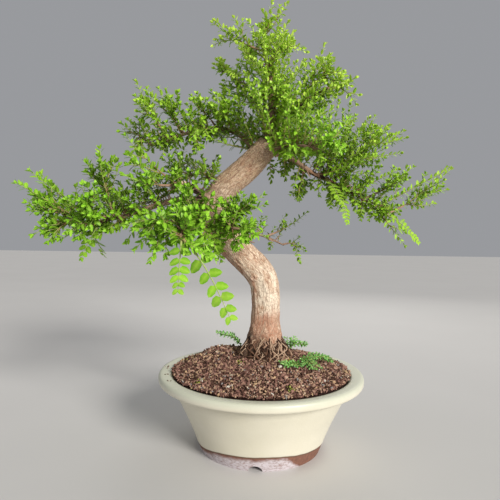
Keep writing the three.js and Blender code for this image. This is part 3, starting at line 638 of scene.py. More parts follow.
class Paint(Nodes):
    """A material under construction, on the object's own places."""

    def __init__(self, name, **plain):
        self.material = bpy.data.materials.new(name)
        self.material.use_nodes = True
        super().__init__(self.material.node_tree)
        self.shader = self.tree.nodes["Principled BSDF"]
        for key, value in plain.items():
            self.shader.inputs[key.replace("_", " ").title().replace("Ior", "IOR")].default_value = value
        self.place = self.node("ShaderNodeTexCoord", output="Object")

    def read(self, attribute, output="Fac"):
        """A value that is kept on the vertices."""
        return self.node("ShaderNodeAttribute", None, output, attribute_name=attribute)

    def axis(self, vector, letter):
        """One part of a vector: X, Y or Z."""
        return self.node("ShaderNodeSeparateXYZ", {"Vector": vector}, letter)

    def stretch(self, vector, grain):
        """Places drawn out along their third axis."""
        return self.node("ShaderNodeMapping", {"Vector": vector, "Scale": (1, 1, grain)})

    def noise(self, vector, scale, detail=4.0, roughness=0.55):
        inputs = {"Vector": vector, "Scale": scale, "Detail": detail, "Roughness": roughness}
        return self.node("ShaderNodeTexNoise", inputs)

    def flecks(self, vector, scale, low, high, detail=4.0, roughness=0.55, grain=1.0):
        """A mask of flecks; its node's Height is the noise that they come from."""
        inputs = {"Vector": vector, "Grain": (1, 1, grain), "Scale": scale, "Detail": detail,
                  "Roughness": roughness, "Low": low, "High": high}
        return self.node("ShaderNodeGroup", inputs, "Mask", node_tree=fleck_group())

    def cells(self, vector, scale, feature="F1", output="Distance"):
        return self.node("ShaderNodeTexVoronoi", {"Vector": vector, "Scale": scale}, output, feature=feature)

    def math(self, operation, first, second):
        return self.node("ShaderNodeMath", {0: first, 1: second}, operation=operation)

    def times(self, *values):
        return reduce(partial(self.math, "MULTIPLY"), values)

    def plus(self, first, second):
        return self.math("ADD", first, second)

    def minus(self, first, second):
        return self.math("SUBTRACT", first, second)

    def most(self, *values):
        return reduce(partial(self.math, "MAXIMUM"), values)

    def ramp(self, value, *stops, interpolation="LINEAR"):
        """Colours by value: each stop is a position and a colour."""
        color = self.node("ShaderNodeValToRGB", {"Fac": value})
        ramp = color.node.color_ramp
        ramp.interpolation = interpolation
        for number, (position, stop_color) in enumerate(stops):
            element = ramp.elements[number] if number < 2 else ramp.elements.new(position)
            element.position = position
            element.color = (*stop_color, 1)
        return color

    def over(self, color, layer, share, strength=1.0, blend="MIX"):
        """A colour with another laid over it as far as the share says."""
        inputs = {0: self.times(share, strength), 6: color, 7: layer}
        return self.node("ShaderNodeMix", inputs, 2, data_type="RGBA", blend_type=blend)

    def finished(self, color, height=None, distance=0.0, strength=1.0):
        """The material with its colour, and its fine relief where it has one."""
        self.feed(self.shader.inputs["Base Color"], color)
        if height is not None:
            inputs = {"Height": height, "Distance": distance, "Strength": strength}
            self.feed(self.shader.inputs["Normal"], self.node("ShaderNodeBump", inputs))
        return self.material


def glaze_paint(pot):
    """Cream glaze with a greener, darker rim top that is partly painted reflection, and a few specks, over a
    bare clay foot.
    """
    paint = Paint("cream_glaze", specular_ior_level=0.5)
    place = paint.place
    waver = paint.times(paint.minus(paint.noise(place, 90), 0.5), 1.6 * MM)
    above = paint.plus(paint.read("above_glaze_line"), waver)
    glazed = paint.ease(above, -0.2 * MM, 0.3 * MM)
    cloud = paint.noise(place, 14, 3)
    glaze = paint.ramp(cloud, (0.3, pot.glaze_shade), (0.7, pot.glaze_color))
    # Partly the glaze's tint, partly painted reflection: the top of the rim is greener and darker
    on_rim = paint.ease(paint.axis(place, "Z"), 100 * MM, 108.5 * MM)
    glaze = paint.over(glaze, pot.rim_color, on_rim, 0.6)
    glaze = paint.over(glaze, GLAZE_SPECKS, paint.flecks(place, 900, 0.76, 0.8, 1), 0.3)
    clay = paint.ramp(paint.noise(place, 220, 5), (0.3, pot.clay_shade), (0.7, pot.clay_color))
    clay = paint.over(clay, CHALK, chalk_stain(paint, above), 0.62)
    edge = paint.times(paint.ease(above, -2.2 * MM, -0.4 * MM), paint.ease(above, 1.2 * MM, 0.1 * MM))
    color = paint.over(paint.over(clay, glaze, glazed), GLAZE_EDGE, edge, 0.75)
    gloss = paint.node("ShaderNodeMapRange", {"Value": glazed, "To Min": 0.85, "To Max": 0.4})
    paint.feed(paint.shader.inputs["Roughness"], gloss)
    return paint.finished(color, paint.plus(paint.times(cloud, 0.4), paint.noise(place, 300, 2)), 0.12 * MM)


def chalk_stain(paint, above):
    """A pale stain low on the foot that thins out to the right."""
    depth = paint.minus(paint.times(paint.noise(paint.place, 60, 5), 11 * MM), above)
    right = paint.most(paint.minus(paint.axis(paint.place, "X"), 34 * MM), 0.0)
    depth = paint.minus(depth, paint.times(right, 0.8))
    worn = paint.flecks(paint.place, 210, 0.36, 0.56, 6, 0.65, 3)
    return paint.times(paint.ease(depth, 7 * MM, 14 * MM), paint.plus(worn, 0.55))


def bark_paint(tree):
    """Pale flakes on brown bark, red where they came off and as partly painted shade down the trunk's left,
    with dark fibres at the foot and painted shade in the knee hollow.
    """
    paint = Paint("flaking_bark", roughness=0.9, specular_ior_level=0.2)
    way = paint.read("bark_way", "Vector")
    height = paint.axis(paint.place, "Z")
    patches = paint.noise(paint.stretch(way, 0.5), 60)
    fine = paint.noise(paint.stretch(way, 0.3), 620, 6, 0.66)
    flaky = paint.stretch(way, 0.42)
    shade = paint.node("ShaderNodeSeparateColor", {"Color": paint.cells(flaky, 380, output="Color")})
    mixed = paint.plus(paint.times(fine, 0.86), paint.times(shade, 0.14))
    color = paint.ramp(mixed, (0.34, tree.bark_dark), (0.44, tree.bark_color), (0.62, tree.bark_pale))
    aged = paint.times(paint.ease(height, 360 * MM, 400 * MM), paint.ease(fine, 0.4, 0.6))
    color = paint.over(color, OLD_BARK, aged, 0.65)
    flecks = paint.flecks(way, 650, 0.56, 0.64, 3, grain=0.6)
    flecks = paint.times(flecks, paint.ease(height, 350 * MM, 390 * MM))
    color = paint.over(color, BARK_FLECKS, flecks, 0.6)
    cream = paint.times(paint.ease(height, 185 * MM, 200 * MM), paint.ease(height, 275 * MM, 250 * MM),
                        paint.ease(patches, 0.42, 0.52))
    color = paint.over(color, CREAM_BARK, cream, 0.7)
    color = paint.over(color, tree.bark_red, fresh_bark_and_shade(paint, way, height, patches), 0.7)
    color = paint.over(color, FURROW_BROWN, paint.flecks(way, 400, 0.45, 0.38, grain=0.12), 0.5)
    crack = paint.ease(paint.cells(flaky, 380, "DISTANCE_TO_EDGE"), 0.09, 0.0)
    color = paint.over(color, CRACK_BROWN, crack, 0.5)
    twigs = paint.ramp(fine, (0.4, [0.4 * part for part in tree.twig_color]), (0.6, tree.twig_color))
    fibre = paint.ramp(paint.noise(paint.stretch(way, 0.2), 210, 6, 0.6), *ROOT_FIBRE)
    # The knee hollow is painted near-black as shade.
    for zone, layer in (("branch", twigs), ("deadwood", DEADWOOD), ("hollow", HOLLOW_PAINTED_SHADE), ("damp", fibre)):
        color = paint.over(color, layer, paint.read(zone))
    return paint.finished(color, paint.minus(fine, paint.times(crack, 0.5)), MM, 0.7)


def fresh_bark_and_shade(paint, way, height, patches):
    """Where flakes came off: a ragged zone low down, red streaks down the trunk's shaded left side that are
    partly painted shade, spots, and round the knots.
    """
    streaks = paint.flecks(way, 330, 0.42, 0.56, 3, grain=0.1)
    ragged = paint.minus(height, paint.times(patches, 90 * MM))
    low = paint.times(paint.ease(ragged, 162 * MM, 142 * MM), paint.ease(patches, 0.34, 0.5),
                      paint.plus(paint.times(streaks, 0.45), 0.55))
    # Partly painted shade: red streaks that darken the trunk's left side, which lies in shade
    left = paint.times(paint.ease(paint.axis(way, "Y"), 8 * MM, 15 * MM), streaks,
                       paint.ease(height, 330 * MM, 300 * MM))
    spots = paint.times(paint.ease(patches, 0.6, 0.66), 0.45)
    return paint.most(low, left, spots, paint.read("knot"))


def stem_paint(tree):
    """Stems go from brown bark where they are old to pale green at their tips."""
    if "shoot_stems" in bpy.data.materials:
        return bpy.data.materials["shoot_stems"]
    paint = Paint("shoot_stems", roughness=0.65, specular_ior_level=0.3)
    age = paint.plus(paint.read("age"), paint.times(paint.noise(paint.place, 120, 3), 0.3))
    color = paint.ramp(age, (0.2, STEM_GREEN), (0.55, STEM_BROWN), (0.95, tree.twig_color))
    streaks = paint.flecks(paint.place, 500, 0.5, 0.7)
    color = paint.over(color, STEM_STREAKS, streaks, 0.4)
    return paint.finished(color, streaks.node.outputs["Height"], 0.3 * MM)


def root_paint():
    paint = Paint("fine_roots", roughness=0.9, specular_ior_level=0.2)
    streaks = paint.noise(paint.place, 600)
    color = paint.over(paint.ramp(paint.read("age"), *FINE_ROOTS), ROOT_STREAKS, streaks, 0.5)
    return paint.finished(color, streaks, 0.3 * MM)


def leaf_paint(name, old, ripe, young):
    """Leaves from old to young by their tone, which also carries painted shade and light, mottled, with a
    pale midrib, cooler at the tree's front.
    """
    paint = Paint(name, roughness=0.45, specular_ior_level=0.18, subsurface_weight=0.15,
                  subsurface_radius=LEAF_SCATTER)
    middle = [(dark + pale) / 2 for dark, pale in zip(old, ripe)]
    # The tone also paints light and shade: the old colour stands for shaded leaves, the young one for lit
    # ones.
    color = paint.ramp(paint.read("tone"), (0.0, old), (0.3, middle), (0.6, ripe), (1.0, young))
    mottle = paint.flecks(paint.place, 320, 0.35, 0.7, 3)
    color = paint.over(color, [0.6 * part for part in ripe], mottle, 0.2)
    front = paint.ease(paint.axis(paint.place, "Y"), -30 * MM, -100 * MM)
    color = paint.over(color, FRONT_TINT, front, 0.85, "MULTIPLY")
    vein = paint.read("vein")
    color = paint.over(color, [min(1, 1.3 * part) for part in young], vein, 0.3)
    return paint.finished(color, vein, 0.4 * MM, 0.6)


def grain_paint():
    paint = Paint("mineral_grains", roughness=0.95, specular_ior_level=0.2)
    color = paint.ramp(paint.read("shade"), *GRAIN_COLORS, interpolation="CONSTANT")
    color = paint.over(color, GRAIN_SPECKLES, paint.flecks(paint.place, 900, 0.4, 0.65, 3), 0.3)
    return paint.finished(color, paint.noise(paint.place, 1100, 3), 0.4 * MM)


def soil_paint():
    paint = Paint("fine_soil", roughness=1.0, specular_ior_level=0.1)
    color = paint.ramp(paint.noise(paint.place, 500), *FINE_SOIL)
    return paint.finished(color, paint.noise(paint.place, 400), MM)


def screen_paint():
    paint = Paint("plastic_mesh", roughness=0.6)
    color = paint.ramp(paint.noise(paint.place, 400, 2), *MESH_PLASTIC)
    return paint.finished(color, paint.cells(paint.place, 900), 0.2 * MM)


def floor_paint(tint):
    paint = Paint("pale_floor", roughness=0.75)
    shade = [0.97 * part for part in tint]
    return paint.finished(paint.ramp(paint.noise(paint.place, 3, 2), (0.3, shade), (0.7, tint)))


# The pot

def turned_wall(name, profile, sides):
    """A ring drawn out step by step along a profile until it closes on itself."""
    begin()
    radius, height = profile[0]
    bpy.ops.mesh.primitive_circle_add(vertices=sides, radius=radius, location=(0, 0, height))
    wall = named(name)
    bpy.ops.object.mode_set(mode="EDIT")
    bpy.ops.mesh.select_all(action="SELECT")
    for (near, low), (far, high) in zip(profile, profile[1:]):
        bpy.ops.mesh.extrude_edges_move(TRANSFORM_OT_translate={"value": (0, 0, high - low)})
        bpy.ops.transform.resize(value=(far / near, far / near, 1), center_override=(0, 0, high))
    bpy.ops.object.mode_set(mode="OBJECT")
    bpy.ops.object.transform_apply(location=True, rotation=True, scale=True)
    outward(wall)
    return wall


def glaze_line(angle):
    """Height of the glaze's lower edge: it dips round the sides and the back."""
    front = np.maximum(0, np.cos(angle + math.pi / 2 - 0.1))
    return (9.5 + 12.3 * front**1.3 + 0.6 * np.sin(3 * angle + 1) + 0.4 * np.sin(8 * angle)) * MM


def over_glaze_line(places):
    """How far each place lies above the glaze's lower edge, and its distance from the pot's axis."""
    above = places[:, 2] - glaze_line(np.arctan2(places[:, 1], places[:, 0]))
    return above, np.hypot(places[:, 0], places[:, 1])


def resampled(corners, spacing):
    """A smooth profile through corners, with its points evenly spaced."""
    way = route([(radius, 0, height) for radius, height in corners])
    count = max(2, int(way.length / (spacing * MM)))
    return [(place[0], place[2]) for place in way.at(np.linspace(0, 1, count))]


def swell_glaze(wall):
    """Lets the glaze stand proud of the clay low on the wall."""
    places = places_of(wall)
    above, radius = over_glaze_line(places)
    fade = np.clip(2 - places[:, 2] / (35 * MM), 0, 1) * (radius > OUTSIDE_RADIUS * MM)
    swell = GLAZE_THICKNESS * MM * np.clip(above / (1.5 * MM), 0, 1) * fade
    places[:, :2] *= (1 + swell / np.maximum(radius, MM))[:, None]
    set_places(wall, places)


def cut_notches(wall):
    """Cuts a rounded notch through the ring foot at each place."""
    begin()
    cutters = []
    for degrees in POT_NOTCHES:
        angle = math.radians(degrees)
        centre = (FOOT_RADIUS * MM * math.cos(angle), FOOT_RADIUS * MM * math.sin(angle), 0)
        bpy.ops.mesh.primitive_cylinder_add(vertices=32, radius=MM, depth=NOTCH_DEPTH * MM, location=centre,
                                            rotation=(math.pi / 2, 0, angle + math.pi / 2))
        cutter = bpy.context.active_object
        cutter.scale = (*NOTCH_SIZE, 1)
        cutters.append(cutter)
    cutter = pick(*cutters)
    bpy.ops.object.join()
    finish_with(wall, "BOOLEAN", operation="DIFFERENCE", object=cutter)
    drop(cutter)


def build_pot(pot):
    outside = resampled(POT_OUTSIDE + POT_RIM, POT_STEP)
    inside = [(radius * MM, height * MM) for radius, height in POT_INSIDE]
    wall = turned_wall("glazed_pot", outside + inside + outside[:1], pot.sides)
    swell_glaze(wall)
    cut_notches(wall)
    places = places_of(wall)
    above, radius = over_glaze_line(places)
    above[radius < OUTSIDE_RADIUS * MM] = -0.01
    above[places[:, 2] > GLAZE_END * MM] = 0.05
    mark(wall.data, "above_glaze_line", above)
    pick(wall)
    bpy.ops.object.shade_smooth_by_angle(angle=math.radians(40))
    placed(wall, "glaze", glaze_paint(pot), "pot")


# The wood

def bent_limb(name, way, sides, rings, radius_at, across=None):
    """A cylinder cut into rings and bent onto a way."""
    begin()
    bpy.ops.mesh.primitive_cylinder_add(vertices=sides, radius=1, depth=1, end_fill_type="TRIFAN")
    limb = named(name)
    bpy.context.tool_settings.mesh_select_mode = (False, True, False)
    mesh = limb.data
    mesh.polygons.foreach_set("select", [False] * len(mesh.polygons))
    heights = places_of(limb)[:, 2]
    ends = np.empty(len(mesh.edges) * 2, int)
    mesh.edges.foreach_get("vertices", ends)
    upright = np.abs(np.diff(heights[ends.reshape(-1, 2)], axis=1)[:, 0]) > 0.5
    mesh.vertices.foreach_set("select", [False] * len(mesh.vertices))
    mesh.edges.foreach_set("select", upright)
    bpy.ops.object.mode_set(mode="EDIT")
    bpy.ops.mesh.subdivide(number_cuts=rings - 1)
    bpy.ops.object.mode_set(mode="OBJECT")
    places = places_of(limb)
    share = places[:, 2] + 0.5
    angle = np.arctan2(places[:, 1], places[:, 0])
    shares = np.linspace(0, 1, rings + 1)
    side, other = carried(way, shares, square_to(way.heading(0.0)) if across is None else across)
    ring = np.rint(share * rings).astype(int)
    reach = np.hypot(places[:, 0], places[:, 1]) * radius_at(share, angle)
    turned = side[ring] * np.cos(angle)[:, None] - other[ring] * np.sin(angle)[:, None]
    set_places(limb, way.at(share) + turned * reach[:, None])
    return limb


def limb_radius(name):
    """A branch's radius, with a slight oval."""
    radii = LIMBS[name][1:]
    return lambda share, angle: between(radii, share) * MM * (1 + 0.06 * np.cos(2 * angle))


def root_radius(share, _):
    return between(ROOT_RADII, share) * MM


def root_route(tip):
    """A root's way: from inside the flare out and down to its tip in the soil."""
    x, y, _ = tip
    return route([(reach * x + shift, reach * y, height) for reach, shift, height in ROOT_BENDS] + [tip])


def ring_rows(ways):
    """A row for each step along each way: its place, two directions across it, and the length walked."""
    steps = np.linspace(0, 1, RING_STEPS)
    rows = []
    for offset, way in enumerate(ways):
        side, other = carried(way, steps, square_to(way.heading(0.0)))
        walked = steps * way.length + 0.7 * offset
        rows.append(np.hstack([way.at(steps), side, other, walked[:, None]]))
    return np.vstack(rows)


def grain_relief(place, damp):
    """Height of the bark in millimetres: flakes and swellings, and furrows on the dark foot."""
    def at(across, along):
        return Vector((across * place[0], across * place[1], along * place[2]))
    flakes = FLAKES[0] * noise.fractal(at(*FLAKES[1:]), 0.8, 2.1, 4)
    swellings = SWELLINGS[0] * noise.noise(at(*SWELLINGS[1:]))
    furrows = FURROW_RIDGE - FURROWS[0] * abs(noise.noise(at(*FURROWS[1:])))
    return flakes + swellings + damp * furrows


def bark_relief(wood, ways):
    """Marks where each vertex lies along its branch, and raises the bark's relief and knots."""
    rows = ring_rows(ways)
    places = places_of(wood)
    tree = tree_of(rows[:, :3])
    nearest = np.array([tree.find(place)[1] for place in places])
    middle, side, other, walked = np.split(rows[nearest], [3, 6, 9], axis=1)
    rest = places - middle
    beyond = (rest * np.cross(side, other)).sum(1)
    way_place = np.stack([(rest * side).sum(1), (rest * other).sum(1), walked[:, 0] + beyond], axis=1)
    ground = soil_height(places[:, 0] / MM, places[:, 1] / MM) * MM
    damp = np.clip(1 - (places[:, 2] - ground) / (DARK_FOOT_RISE * MM - DARK_FOOT_LEAN * places[:, 0]), 0, 1)
    relief = np.array([grain_relief(place, share) for place, share in zip(way_place, damp)])
    knots = np.zeros(len(places))
    for centre, radius, lip, pit, redness in KNOTS:
        depth = np.linalg.norm(places / MM - centre, axis=1) / radius
        relief += lip * np.exp(-((depth - 0.85) / 0.3) ** 2) - pit * np.exp(-(depth / 0.5) ** 2)
        knots = np.maximum(knots, redness * np.clip(1.3 - depth, 0, 1))
    thick = np.clip(np.linalg.norm(rest, axis=1) / (18 * MM), 0.12, 1.3)
    normals = np.empty(places.size)
    wood.data.vertices.foreach_get("normal", normals)
    set_places(wood, places + normals.reshape(-1, 3) * (relief * thick * MM)[:, None])
    centre, size = (np.array(part) * MM for part in KNEE_HOLLOW)
    depth = np.linalg.norm((places - centre) / size, axis=1)
    number, step = np.divmod(nearest, RING_STEPS)
    on_stub = number == ways.index(LIMB_WAYS["knee_stub"])
    on_limb = number > len(ROOT_TIPS)
    mark(wood.data, "knot", knots)
    mark(wood.data, "bark_way", way_place)
    # Where the inside of the knee hollow is painted near-black as shade
    mark(wood.data, "hollow", np.clip((1.12 - depth) / 0.15, 0, 1))
    mark(wood.data, "deadwood", 0.85 * on_stub * np.clip((step / RING_STEPS - 0.35) / 0.2, 0, 1))
    mark(wood.data, "damp", 0.95 * damp**0.5)
    mark(wood.data, "branch", 0.75 * on_limb * np.clip(step / RING_STEPS / 0.25, 0, 1))


def build_wood(tree):
    parts = [bent_limb("trunk_part", TRUNK, 48, 150, trunk_radius, FRONT)]
    roots = [root_route(tip) for tip in ROOT_TIPS]
    for way in roots:
        parts.append(bent_limb("root_part", way, 12, 24, root_radius))
    for name, way in LIMB_WAYS.items():
        parts.append(bent_limb("limb_part", way, 14, int(way.length / (5 * MM)), limb_radius(name)))
    pick(*parts[::-1])
    bpy.ops.object.join()
    wood = named("trunk_and_limbs")
    centre, size = KNEE_HOLLOW
    begin()
    bpy.ops.mesh.primitive_uv_sphere_add(segments=20, ring_count=12, radius=MM,
                                         location=[part * MM for part in centre])
    hollow = bpy.context.active_object
    hollow.scale = size
    finish_with(wood, "REMESH", mode="VOXEL", voxel_size=tree.bark_grid * MM)
    finish_with(wood, "BOOLEAN", operation="DIFFERENCE", object=hollow)
    drop(hollow)
    finish_with(wood, "SMOOTH", factor=0.5, iterations=4)
    bark_relief(wood, [TRUNK, *roots, *LIMB_WAYS.values()])
    pick(wood)
    bpy.ops.object.shade_smooth()
    placed(wood, "bark", bark_paint(tree), "trunk_and_branches")
    rootlets = [(way, 0, 1, TWIG_RADII, (shade, shade)) for way, shade in rootlet_ways(tree.rootlets)]
    placed(tubes("rootlets", rootlets), "bark", root_paint())
    stubs = [(way, 0, 1, TWIG_RADII, (1, 1)) for way in stub_ways()]
    placed(tubes("stubs", stubs), "bark", stem_paint(tree))


def rootlet_ways(count):
    """Fine roots that wind down the flare of the trunk and over the soil, dark and pale ones."""
    draw = np.random.default_rng(ROOTLET_SEED)
    for _ in range(count):
        angle = draw.uniform(0, 2 * math.pi)
        top = draw.uniform(0.115, 0.2)
        low = max(0.098, top - draw.uniform(0.04, 0.09))
        reach = draw.uniform(2.5, 4.5)
        points = []
        for share in np.linspace(top, low, 9):
            angle += draw.normal(0, 0.15)
            out = reach * min(1, 2 * (top - share) / (top - low)) - 1 + draw.normal(0, 0.4)
            outwards = np.array([-math.sin(angle), -math.cos(angle), 0])
            points.append(TRUNK.at(share) + outwards * (trunk_radius(share, angle) + out * MM))
        yield Way(points), draw.uniform(0, 1)


def stub_ways():
    """Short bare twigs that are left on the branches."""
    draw = np.random.default_rng(STUB_SEED)
    for way in LIMB_WAYS.values():
        for _ in range(int(way.length / (13 * MM))):
            share = draw.uniform(0.25, 0.95)
            ahead = way.heading(share)
            away = around(ahead, draw.uniform(0, 2 * math.pi))
            start = way.at(share)
            middle = start + unit(away + 0.5 * ahead) * draw.uniform(6, 10) * MM
            yield Way([start, middle, middle + unit(away + ahead + 0.5 * UP) * draw.uniform(4, 9) * MM])


# The leaves

def leaf_shape(leaf):
    """One blade: a flat cone whose ring is the outline and whose two poles lie on the midrib."""
    begin()
    bpy.ops.mesh.primitive_cone_add(vertices=8, radius1=1, radius2=0, depth=1, end_fill_type="TRIFAN")
    blade = named("leaf_shape")
    across, along, height = places_of(blade).T
    is_ring = np.hypot(across, along) > 0.5
    length, width = leaf.length * MM, leaf.width * MM
    share = (along + 1) / 2
    fold = BLADE_FOLD * np.abs(across) * width
    middle = np.where(height > 0, BLADE_HALF, -BLADE_HALF) * MM
    z = np.where(is_ring, fold, middle) - BLADE_DROOP * length * share**2
    y = across * 0.5 * width * (BLADE_FULLNESS - BLADE_TAPER * along)
    set_places(blade, np.stack([share * length, y, z], axis=1))
    mark(blade.data, "vein", np.where(is_ring, np.abs(across) < 0.1, True).astype(float))
    outward(blade)
    return blade


def facing_out(way):
    """The way that a spray's leaves face: out of the crown, to the bright front, and up unless it hangs."""
    chord = unit(way.at(1.0) - way.at(0.0))
    facing = unit(way.at(0.5) - CROWN_HEART) + ([0, -0.6, 0.9] if chord[2] > -0.4 else FRONT)
    facing = facing - chord * (facing @ chord)
    return facing if np.linalg.norm(facing) > 0.05 else square_to(chord)


def facing_up(way):
    """The way that a seedling's leaves face: up, and a little back over its root."""
    back = (way.at(0.0) - way.at(1.0)) * [1, 1, 0]
    return 0.5 * unit(back) + UP


class Foliage:
    """The leaves and stems of one spray, gathered before they become a mesh."""

    def __init__(self, seed, scale):
        self.random = np.random.default_rng(seed)
        self.scale = scale
        self.roots, self.bases, self.tones, self.stems = [], [], [], []

    def shoot(self, way, first, facing, tone, old=0.0, flat=0.0):
        """Pairs of leaves along a way: each crosses the one before, or all lie flat on a hanging shoot."""
        draw = self.random
        step = LEAF_STEP * (1 + 0.3 * flat * (self.scale - 0.8)) * MM * self.scale
        count = max(3, int(round(way.length * (1 - first) / step)))
        pairs = np.arange(count)
        along_shoot = (pairs + 0.5) / (count + 0.2 - 0.6 * flat)
        along_shoot = along_shoot * (1 + 0.3 * flat * (1 - along_shoot))
        shares = first + (1 - first) * along_shoot
        shrink = (TIP_SHRINK + FLAT_SHRINK * flat) * along_shoot**3
        size = self.scale * (1 - shrink) * draw.uniform(0.88, 1.08, count)
        ahead = way.heading(shares)
        side, rise = beside(ahead, facing)
        turn = (1 - flat) * (PAIR_TURN + NEXT_PAIR_TURN * (pairs % 2)) + draw.normal(0, 0.18, count)
        out = side * np.cos(turn)[:, None] - rise * np.sin(turn)[:, None]
        light = (1 - flat) * (0.8 * UP + 0.5 * ahead + draw.normal(0, 0.22, (count, 3)))
        light = light + (0.25 + 0.4 * (1 - abs(ahead[:, 2:])) + flat) * facing
        for hand in (1, -1):
            spread = LEAF_SPREAD - SPREAD_FALL * along_shoot**2 + FLAT_SPREAD * flat
            spread = (spread + draw.normal(0, 0.11, count))[:, None]
            along = hand * out * np.sin(spread) + ahead * np.cos(spread)
            face = unit(light - along * (light * along).sum(axis=1, keepdims=True))
            across = np.cross(face, along) * (ACROSS_STRETCH + FLAT_ACROSS * flat)
            self.roots.append(way.at(shares) + along * 0.5 * MM)
            basis = np.stack([along * ALONG_STRETCH, across, face], axis=2)
            self.bases.append(basis * size[:, None, None])
            self.tones.append(np.clip(tone + 0.42 * (along_shoot - 0.5) + draw.normal(0, 0.08, count), 0, 1))
        if not flat:
            self.tuft(way, facing, tone)
        self.stems.append((way, max(0, first - 0.03), 1.0, (0.5 + 0.5 * self.scale, 0.4), (old, 0.0)))

    def tuft(self, way, facing, tone):
        """The two youngest pairs, half closed, at the tip of a shoot."""
        ahead = way.heading(1.0)
        side, rise = beside(ahead, facing)
        for out, spread, size in ((side, 0.6, 0.7), (rise, 0.4, 0.52)):
            for hand in (1, -1):
                along = unit(ahead + hand * spread * out)
                face = unit(spread * ahead - hand * out)
                basis = np.stack([along, np.cross(face, along), face], axis=1)
                self.roots.append(way.at(1.0)[None])
                self.bases.append((basis * size * self.scale)[None])
                self.tones.append(np.clip([tone + 0.22], 0, 1))

    def side_shoots(self, way, first, count, facing, tone):
        """Smaller shoots that leave a main one in turn on both sides and lean its way."""
        draw = self.random
        for number in range(count):
            share = first + 0.6 * (1 - first) * (number + draw.uniform(0, 0.9)) / count
            ahead = way.heading(share)
            side, rise = beside(ahead, facing)
            tilt = draw.normal(0.25, 0.7)
            away = side * math.cos(tilt) * (1 if number % 2 else -1) + rise * math.sin(tilt)
            spread = draw.uniform(0.45, 0.75)
            length = (1 - share) * way.length * draw.uniform(0.4, 0.7)
            heading = ahead * math.cos(spread) + away * math.sin(spread)
            self.offshoot(way.at(share), heading, ahead, max(length, SIDE_SHOOT * MM), tone)

    def offshoot(self, start, heading, later, length, tone):
        """A shoot that sets out one way and bends a little to another."""
        middle = start + heading * length / 2
        tip = middle + unit(heading + 0.25 * later + 0.15 * UP) * length / 2
        way = bow(start, middle, tip, 17)
        self.shoot(way, 0.1, facing_out(way), tone + self.random.normal(0, 0.08), 0.35)

    def fan(self, way, first, sisters, bushy, tone, flat=0.0):
        """A main shoot with its side shoots, and sisters that set out low on it and run beside it."""
        draw = self.random
        facing = facing_out(way)
        self.shoot(way, first, facing, tone, 0.4 * (1 - flat), flat)
        self.side_shoots(way, first, bushy, facing, tone - 0.06)
        for number in range(sisters):
            start = way.at(first + 0.35 * number / sisters)
            rest = way.at(1.0) - start
            side = unit(np.cross(rest, facing))
            turn = 2 * math.pi * (number + draw.uniform(0, 0.6)) / sisters + 0.4
            away = side * math.cos(turn) + facing * 0.7 * math.sin(turn)
            reach = np.linalg.norm(rest) * draw.uniform(0.6, 0.9)
            tip = start + unit(unit(rest) + away * draw.uniform(0.35, 0.65)) * reach
            sister = arch(start, tip)
            shade = tone - draw.uniform(0, 0.12)
            self.shoot(sister, 0.12, facing_out(sister), shade, 0.35)
            self.side_shoots(sister, 0.12, bushy, facing, shade - 0.05)

    def mesh(self, name, blade, leaf_material, stem_material):
        """The gathered leaves and stems as one piece."""
        roots, bases = np.concatenate(self.roots), np.concatenate(self.bases)
        leaves = stamped(name, blade, roots, bases, {"tone": np.concatenate(self.tones)})
        leaves.data.materials.append(leaf_material)
        stems = tubes(name + "_stems", self.stems)
        stems.data.materials.clear()
        stems.data.materials.append(stem_material)
        piece = pick(stems, leaves)
        bpy.ops.object.join()
        piece.name = piece.data.name = name
        return piece


def twig_share(name, at, length):
    """The share of a spray's length that is bare twig, inside the branch and a little beyond it."""
    radius = between(LIMBS[name][1:], at)
    return min(0.5, max((radius + BARE_TWIG) * MM, BARE_SHARE * length) / length)


def fork_place(way, first):
    """Where a spray's fork leaves its main shoot: at the first pair of the modelled leaves."""
    leafy = (1 - first) * way.length / MM
    count = max(2, round((leafy - 4) / MODEL_LEAF_STEP))
    return first + (1 - first) * 0.55 / (count + 0.25)


def crown_age_and_painted_light(place):
    """Leaves are younger outside the crown; besides that, painted shade darkens them inside the crown and
    behind it, and painted light brightens them at the top, on the right and at the front.
    """
    depth = np.linalg.norm((place / MM - CROWN_MIDDLE) / CROWN_REACH)
    top = min(1, max(0, (place[2] - 0.42) / 0.15))
    behind = min(1, max(0, place[1] / 0.12))
    return 0.12 + 0.42 * min(1.3, depth) + 0.38 * top - 0.25 * behind + 0.75 * (place[0] - min(0, place[1]))


def spray_foliage(index, limb, at, tip, forks, twigs):
    """One modelled spray with finer leaves: its main shoot, sisters and side shoots, or plain if it hangs."""
    size, sisters, bushy = LEAFINESS[limb][:3]
    way = arch(LIMB_WAYS[limb].at(min(at, 0.995)), np.array(tip) * MM)
    first = twig_share(limb, at, way.length)
    hangs = way.at(0.0)[2] - way.at(1.0)[2] > 0.5 * way.length and at > 0.5
    flat = float(hangs)
    twigs.append((way, 0.0, first + 0.02, (2.0, 1.3), (0.3, 0.05) if hangs else (1, 0.6)))
    in_front = min(1, max(0, -tip[1] / FRONT_REACH))
    growth = END_GROWTH if at == 1 else SIDE_GROWTH
    foliage = Foliage(index, size * (1 + flat * in_front * growth))
    tone = crown_age_and_painted_light(way.at(0.8)) - 0.08 * flat
    if hangs:
        sisters, bushy = 0, 0
    foliage.fan(way, first, sisters, bushy, tone, flat)
    for fork in forks:
        side_way = arch(way.at(fork_place(way, first)), np.array(fork) * MM)
        foliage.fan(side_way, 0.06, min(1, sisters), min(1, bushy), tone, flat)
    return foliage


